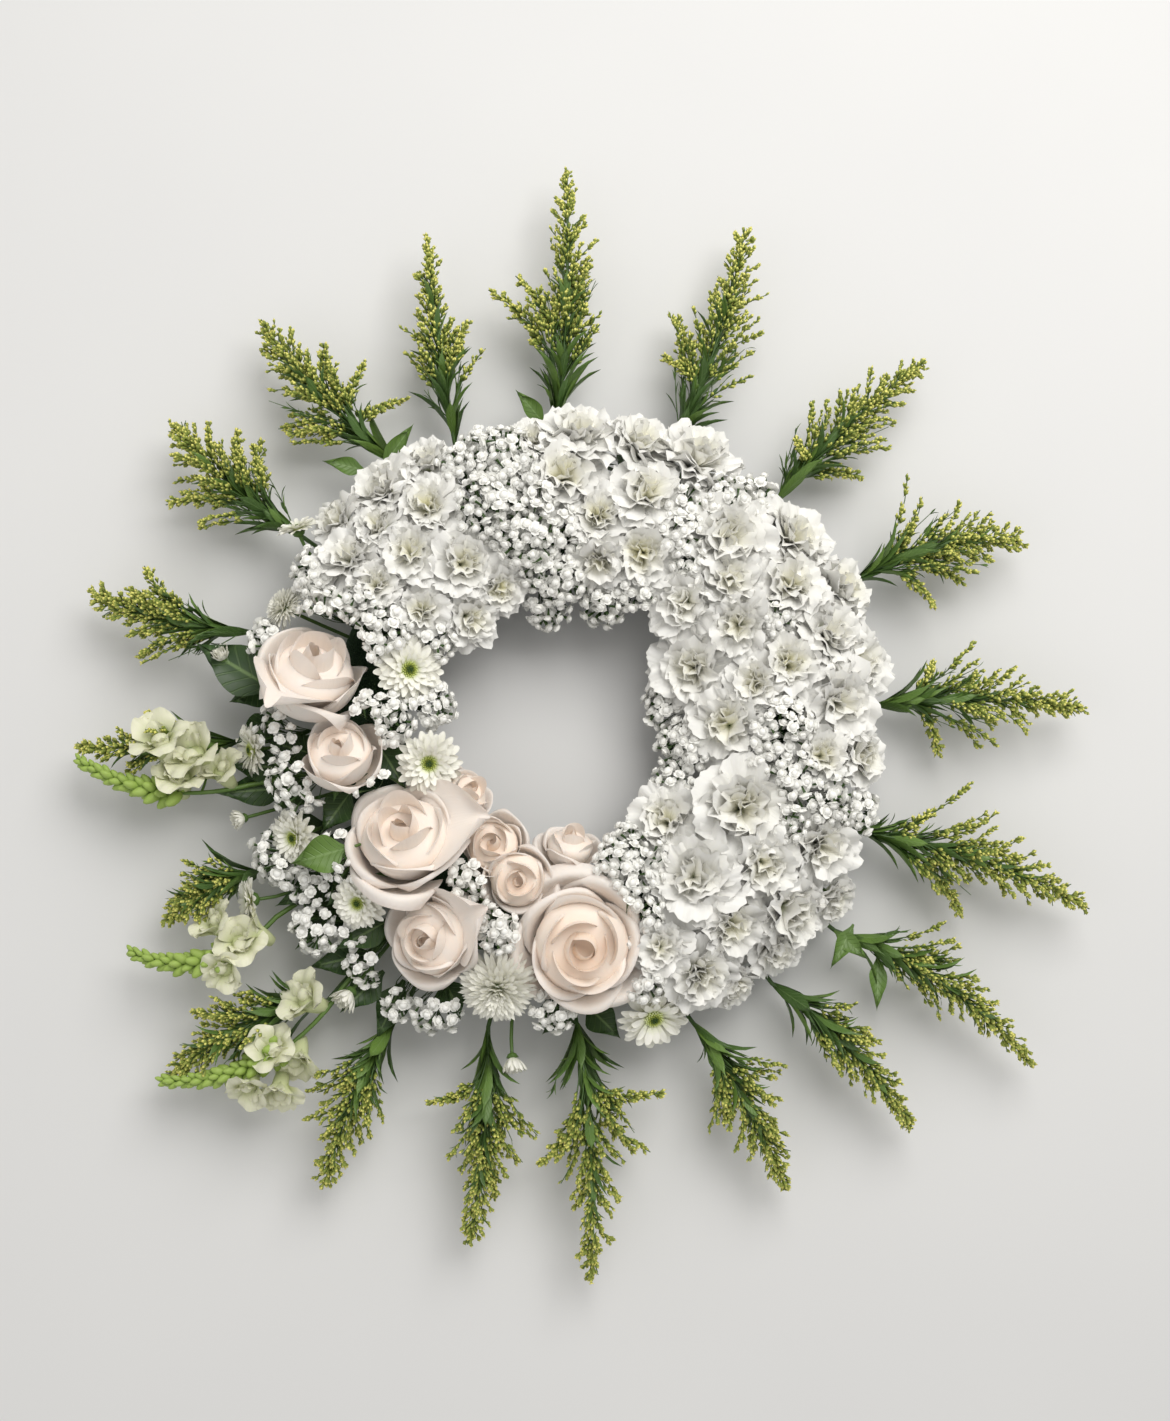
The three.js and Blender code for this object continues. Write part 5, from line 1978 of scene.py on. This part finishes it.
    def _side_twigs(self, leaves: Spots, lines: Lines, stem: ndarray, rng: Generator) -> None:
        """Set thin twigs with small leaves round the foot, wider than the sheaf itself.

        Args:
            leaves: Where the leaves are added.
            lines: Where the twigs are added.
            stem: The line that they stand on.
            rng: The source of their small differences.
        """
        for index in range(self.TWIGS):
            here, ahead = self._at(stem, rng.uniform(0.04, 0.34))
            left = unit(np.cross(Z_AXIS, ahead)) * (-1) ** index
            angle = math.radians(rng.uniform(22, 40))
            out = ahead * math.cos(angle) + left * math.sin(angle) + Z_AXIS * rng.uniform(-0.12, 0.16)
            length = min(self.width, self.LONGEST_BRANCH) * rng.uniform(0.45, 0.8)
            s = np.linspace(0, 1, 5)[:, None]
            twig = here + (out * s + ahead * 0.25 * s ** 2) * length
            twig[:, 2] = np.maximum(twig[:, 2], self.LOWEST_Z)
            lines.add(twig, np.linspace(*self.TWIG_RADII, 5), 0.5)
            self._leaves(leaves, twig, 5, 0.30, self.TWIG_LEAF_LENGTH, rng)

    def _leaves(self, leaves: Spots, stem: ndarray, count: int, start: float, longest: float, rng: Generator) -> None:
        """Set narrow leaves round the lower part of a stem.

        Args:
            leaves: Where the leaves are added.
            stem: The line that they stand on.
            count: How many there are.
            start: The share of the stem below them.
            longest: The length of the lowest ones.
            rng: The source of their small differences.
        """
        for index in range(count):
            share = start + self.LEAFY * rng.uniform(0, 1) ** 1.3
            here, ahead = self._at(stem, share)
            turn = index * GOLDEN_ANGLE
            left = unit(np.cross(Z_AXIS, ahead))
            out = unit(left * math.cos(turn) * 1.3 + np.cross(ahead, left) * math.sin(turn) * 0.8)
            basis = np.stack([np.cross(out, ahead), out, ahead], axis=1)
            size = longest * lerp(1.0, 0.45, (share - start) / self.LEAFY) * rng.uniform(0.7, 1.15)
            leaves.add(here, basis, size, rng.integers(0, 3), rng.uniform(0.40, 0.85))


def goldenrod_bud_shapes() -> list[Shape]:
    """A shut bud, a fatter one and one that shows its rays, each 1 long.

    Returns:
        The three patterns.
    """
    shut = turned([(0, -0.5), (0.20, 0.12), (0, 0.5)], 4)
    fat = turned([(0, -0.5), (0.27, 0.16), (0, 0.46)], 4)
    rays = [turned([(0, -0.5), (0.20, 0.0), (0, 0.2)], 4)]
    for index in range(4):
        ray = turned([(0, 0.0), (0.09, 0.24), (0, 0.46)], 3)
        rays.append(ray.placed(basis_of(leaning(50, index * 90 + 20)), 1.0, [0, 0, 0.0]).marked(along=1.0))
    return [shut, fat, Shape.joined(rays)]


def narrow_leaf_shapes() -> list[Shape]:
    """Narrow pointed leaves, 1 long, that stand up from the stem and arch over.

    Returns:
        The three patterns.
    """
    plain = Blade(length=1.0, width=0.21, rows=5, columns=3, foot=0.3, widest=0.4, tip=0.04, lean=(0, 0), cup=0.2,
                  thickness=0.012)
    return [replace(plain, lean=lean).shape().marked(depth=0.6) for lean in ((14, 34), (22, 60), (8, 22))]


SPRAYS = [
    # The tip, the foot, the width, the bend to the left, the tips of the long side arms, and the broad leaves.
    ((-3, 520), (-11, 272), 70, -4, ((-51, 413), (18, 438), (-76, 399)), ((-22, 276, -50, 306),)),
    ((165, 467), (97, 258), 82, -8, ((84, 341), (100, 384))),
    ((333, 340), (192, 206), 76, 6, ((210, 264), (277, 233))),
    ((425, 174), (262, 132), 84, 12, ((318, 188), (372, 134), (340, 107))),
    ((482, 16), (280, 18), 76, 6, ((336, 57), (345, -28))),
    ((482, -170), (258, -98), 88, 10, ((331, -82), (363, -177), (416, -124))),
    ((425, -312), (246, -190), 62, 14, ((331, -217),), ((244, -190, 272, -216), (262, -184, 238, -224),
        (284, -212, 280, -262))),
    ((313, -369), (187, -238), 58, 8, ((277, -289),)),
    ((196, -422), (110, -268), 62, 6, ((138, -361),)),
    ((19, -500), (7, -268), 100, 6, ((-29, -397), (61, -388), (84, -334))),
    ((-88, -465), (-72, -276), 64, 4, ((-128, -341), (-66, -430))),
    ((-216, -414), (-154, -268), 62, -8, ((-200, -330),)),
    ((-357, -322), (-216, -252), 62, -12, ((-335, -262),)),
    ((-358, -182), (-272, -136), 48, -8, ((-330, -163),)),
    ((-440, -27), (-296, -19), 52, 4, ((-380, 4),)),
    ((-430, 111), (-288, 80), 66, 8, ((-384, 136), (-352, 66))),
    ((-360, 266), (-243, 168), 88, 8, ((-303, 264), (-283, 258), (-366, 192))),
    ((-282, 362), (-158, 238), 96, 10, ((-227, 345), (-189, 332), (-258, 260), (-150, 300)), ((-173, 232, -144, 272),
        (-186, 230, -226, 236))),
    ((-133, 451), (-105, 256), 54, 4, ((-94, 368),)),
]
GOLDENROD = [Goldenrod(index + 1, *spray) for index, spray in enumerate(SPRAYS)]


# ---- Snapdragons ----


@dataclass(frozen=True)
class Snapdragon:
    """One snapdragon stem: a tapering spike of lime buds, with open florets at its foot."""

    node: str
    tip: tuple[float, float]
    foot: tuple[float, float]
    florets: tuple[tuple[float, float, float], ...]
    droop: float = 0.0

    STEM_Z, END_Z, FLORET_Z = 58.0, 48.0, 62.0
    FOAM_RADIUS, FOAM_Z = 190.0, 30.0
    STEM_RADII = (2.4, 0.9)
    # The shares of the stem where the buds begin and end. They shrink from its foot to its tip.
    BUDS_FROM, BUDS_TO, BUDS_PER_MM, BUD_LENGTH = 0.36, 0.99, 0.33, (20, 9)
    # The floret's pattern is smaller than 1 across, so it is made larger.
    FLORET_SCALE, STALK_RADIUS = 1.45, 1.2

    def build(self, shop: Workshop) -> None:
        """Make the stem in place of its plain solid.

        Args:
            shop: What the pieces are made with.
        """
        flowers, cups, lines, rng = Spots(), Spots(), Lines(), shop.rng
        foot = np.array([*self.foot, self.END_Z])
        tip = np.array([*self.tip, self.END_Z])
        ahead = unit(tip - foot)
        left = np.cross(Z_AXIS, ahead)
        middle = (foot + tip) / 2 + left * self.droop
        middle[2] = self.STEM_Z
        inside = unit(foot[:2]) * self.FOAM_RADIUS
        stem = through(foot, middle, tip, np.linspace(0, 1, 16))
        lines.add(np.concatenate([[[*inside, self.FOAM_Z]], stem]), np.linspace(*self.STEM_RADII, 17), 0.7)
        count = int(np.linalg.norm(tip - foot) * self.BUDS_PER_MM)
        for index in range(count):
            share = lerp(self.BUDS_FROM, self.BUDS_TO, (index / count) ** 0.9)
            here, next_ = through(foot, middle, tip, np.array([share, share + 0.01]))
            along = unit(next_ - here)
            turn = index * GOLDEN_ANGLE
            side = unit(np.cross(along, Z_AXIS))
            out = side * math.cos(turn) + np.cross(side, along) * math.sin(turn)
            rise = (share - self.BUDS_FROM) / (self.BUDS_TO - self.BUDS_FROM)
            size = lerp(*self.BUD_LENGTH, rise) * rng.uniform(0.85, 1.15)
            facing = unit(out + along * lerp(0.75, 2.0, rise))
            flowers.add(here + out * 1.4 + facing * size * 0.42, basis_of(facing, turn), size, 1, rng.uniform(0, 1))
            cups.add(here + out * 1.2, basis_of(facing, turn), size, 0, rng.uniform(0.75, 1.0))
        for x, y, diameter in self.florets:
            nearest = stem[np.argmin(np.linalg.norm(stem[:, :2] - [x, y], axis=1))]
            at = np.array([x, y, self.FLORET_Z])
            away = unit((at - nearest) * [1, 1, 0])
            facing = unit(away * 0.9 + Z_AXIS + ahead * 0.5 + rng.normal(0, 0.2, 3))
            basis = basis_of(facing, rng.uniform(0, ALL_ROUND))
            flowers.add(at, basis, diameter * self.FLORET_SCALE, 0, rng.uniform(0, 1))
            back = at - facing * diameter * 0.40
            cups.add(back, basis_of(facing), diameter * 0.5, 0, 0.7)
            lines.add(stem_run(back, facing, nearest, 5), self.STALK_RADIUS, 0.7)
        shop.flowers(self.node, "petals", flowers, "snapdragon_floret", "snapdragon_petal")
        greens(self.node, [shop.copies("cups", cups, "snapdragon_cup"), shop.stems("stems", lines, 6)])


def snapdragon_shapes() -> list[Shape]:
    """An open floret and a shut bud, each 1 across or long.

    Returns:
        The two patterns.
    """
    rng = np.random.default_rng(SNAPDRAGON_SEED)
    tube = turned([(0, -0.45), (0.10, -0.42), (0.14, -0.25), (0.16, -0.05), (0.12, 0.05), (0, 0.06)], 10)
    shapes = [tube.marked(along=0.2)]
    for angle, width, lean, length in (
            (60, 0.56, (4, 66), 0.52), (120, 0.56, (4, 66), 0.52), (200, 0.50, (26, 112), 0.48),
            (270, 0.54, (30, 120), 0.50), (340, 0.50, (26, 112), 0.48), (90, 0.3, (0, 30), 0.36),
            (240, 0.3, (10, 64), 0.34), (300, 0.3, (10, 64), 0.34)):
        lobe = Blade(length=length, width=width, rows=6, columns=9, foot=0.4, widest=0.8, tip=0.85, lean=lean,
                     cup=0.05, ruffle=0.075, waves=rng.uniform(3.0, 4.4), phase=rng.uniform(0, ALL_ROUND),
                     rounding=0.28, thickness=0.012)
        shapes.append(lobe.round_axis(math.radians(angle - 90), 0.10, -0.10))
    palate = turned([(0, -0.12), (0.12, -0.04), (0.13, 0.06), (0.07, 0.12), (0, 0.13)], 10)
    shapes.append(palate.placed(basis_of(leaning(30, 270)), 1.0, [0, -0.10, 0.02]).marked(along=0.7))
    bud = turned([(0, -0.5), (0.16, -0.38), (0.25, -0.1), (0.24, 0.15), (0.13, 0.40), (0, 0.5)], 8)
    return [Shape.joined(shapes), bud.marked(depth=1.0)]


def bud_cup_shape() -> Shape:
    """The pointed green sepals at the foot of a bud that is 1 long.

    Returns:
        The whole pattern as one shape.
    """
    sepal = Blade(length=0.42, width=0.22, rows=4, columns=3, foot=0.7, widest=0.4, tip=0.1, lean=(38, 4),
                  thickness=0.02)
    return Shape.joined(sepal.round_axis(index * math.tau / 5, 0.04, -0.02) for index in range(5))


SNAPDRAGONS = [
    Snapdragon("snapdragon_01", (-440, -38), (-286, -60), ((-366, -22, 42), (-334, -34, 44), (-346, -54, 38),
        (-312, -50, 34)), 18),
    Snapdragon("snapdragon_02", (-391, -208), (-262, -178), ((-314, -186, 34), (-292, -200, 36), (-304, -224, 32),
        (-280, -190, 34)), 24),
    Snapdragon("snapdragon_03", (-362, -321), (-202, -240), ((-234, -252, 40), (-264, -294, 36), (-240, -300, 36),
        (-281, -326, 32), (-256, -328, 34)), 26),
]


# ---- Leaves ----


@dataclass(frozen=True)
class Leaf:
    """A broad leaf on its short stalk."""

    node: str
    start: tuple[float, float]
    end: tuple[float, float]
    width: float
    z: float
    fold: float
    tone: float

    STALK_RADIUS = 1.3

    def build(self, shop: Workshop) -> None:
        """Make the leaf in place of its plain solid.

        Args:
            shop: What the pieces are made with.
        """
        start, end = (np.array([*place, self.z]) for place in (self.start, self.end))
        blade = shop.solid("blade", leaf_between(start, end, self.width, self.fold, self.tone))
        run = stem_run(start, unit(end - start), CUSHION.stem_foot(*self.start, start), 8)
        lines = Lines()
        lines.add(run, self.STALK_RADIUS, self.tone)
        greens(self.node, [blade, shop.stems("stalk", lines, 6)], "blade")


LEAVES = [
    Leaf("leaf_dark", (-262, 22), (-336, 66), 46, 52, 0.10, 0.12),
    Leaf("leaf_rose", (-196, -118), (-246, -132), 34, 100, 0.22, 0.72),
]


# ---- The whole ----


@dataclass(frozen=True)
class Studio:
    """The floor, the light and the camera."""

    target: tuple[float, float, float] = (12.0, 7.0, 70.0)
    distance: float = 1900.0
    to_left: float = 5.0
    to_foot: float = 6.0
    lens: float = 53.5
    sensor: float = 36.0
    floor: float = 6000.0
    sky: Colour = (1.0, 0.99, 0.97)
    sky_strength: float = 0.50

    LAMPS = (
        # The lamp's name, place, size, power and colour.
        ("key", (620, 1250, 2100), 1900, 50.0, (1.0, 0.985, 0.955)),
        ("fill", (-1500, -700, 1700), 1800, 5.0, (1.0, 0.98, 0.95)),
    )

    def build(self) -> None:
        """Set up the floor, lamps, sky and camera."""
        half = self.floor / 2
        corners = np.array([[-half, -half, 0], [half, -half, 0], [half, half, 0], [-half, half, 0]], float)
        floor = Shape(corners, np.array([[0, 1, 2, 3]])).to_object("floor", FloorFinish().material())
        for lamp in self.LAMPS:
            self._lamp(*lamp)
        world = bpy.data.worlds.new("sky")
        world.use_nodes = True
        background = world.node_tree.nodes["Background"]
        background.inputs["Color"].default_value = (*self.sky, 1.0)
        background.inputs["Strength"].default_value = self.sky_strength
        bpy.context.scene.world = world
        bpy.context.scene.view_settings.view_transform = "Standard"
        camera = bpy.data.cameras.new("camera")
        camera.lens = self.lens
        camera.sensor_width = self.sensor
        target = np.array(self.target)
        toward = unit(np.array([-math.tan(math.radians(self.to_left)), -math.tan(math.radians(self.to_foot)), 1.0]))
        side = unit(np.cross([0.0, 1.0, 0.0], toward))
        basis = np.stack([side, np.cross(toward, side), toward], axis=1)
        bpy.context.scene.camera = self._aimed("camera", camera, target + toward * self.distance, basis)

    @staticmethod
    def _aimed(name: str, data: ID, at: ndarray, basis: ndarray) -> Object:
        """Put a lamp or camera in place.

        Args:
            name: Its name.
            data: The lamp or camera.
            at: Its place.
            basis: Its axes. It looks against the third.

        Returns:
            Its object.
        """
        made = linked(name, data)
        made.location = [float(value) * MM for value in at]
        made.rotation_euler = [float(value) for value in eulers_of(basis[None])[0]]
        return made

    def _lamp(self, name: str, at: tuple[float, float, float], size: float, power: float, colour: Colour) -> None:
        """Add one soft square lamp that shines at the wreath.

        Args:
            name: Its name.
            at: Its place.
            size: How wide it is.
            power: Its power, in watts.
            colour: Its colour.
        """
        lamp = bpy.data.lights.new(name, "AREA")
        lamp.size = size * MM
        lamp.energy = power
        lamp.color = colour
        place = np.array(at, float)
        self._aimed(name, lamp, place, basis_of(place - np.array(self.target)))


def large_heads() -> list[tuple[ndarray, float]]:
    """The middle of every large head, with the radius that small blooms keep out of.

    Returns:
        The middles and the radii.
    """
    heads = [(CUSHION.seat(rose.x, rose.y)[0], rose.diameter * 0.47) for rose in ROSES]
    for spray in CARNATIONS:
        heads += [(CUSHION.seat(x, y)[0], diameter * 0.42) for x, y, diameter in spray.blooms]
    for stem in CHRYSANTHEMUMS:
        heads += [(CUSHION.seat(bloom.x, bloom.y)[0], bloom.diameter * 0.42) for bloom in stem.blooms]
    for leaf in LEAVES:
        heads += [(np.array([*lerp(np.array(leaf.start), np.array(leaf.end), share), leaf.z]), leaf.width * 0.42)
                  for share in (0.15, 0.45, 0.75)]
    return heads


def main() -> None:
    """Build every sub-assembly in order and report each piece."""
    logging.basicConfig(level=logging.INFO, format="%(message)s")
    Studio().build()
    shop = Workshop()
    Ring().build(shop)
    clear_of = large_heads()
    for part in (*ROSES, *CARNATIONS, *CHRYSANTHEMUMS):
        part.build(shop)
    for bunch in BABYS_BREATH:
        bunch.build(shop, clear_of)
    for part in (*GOLDENROD, *SNAPDRAGONS, *LEAVES):
        part.build(shop)
    shop.patterns.clear()


if __name__ == "__main__":
    main()
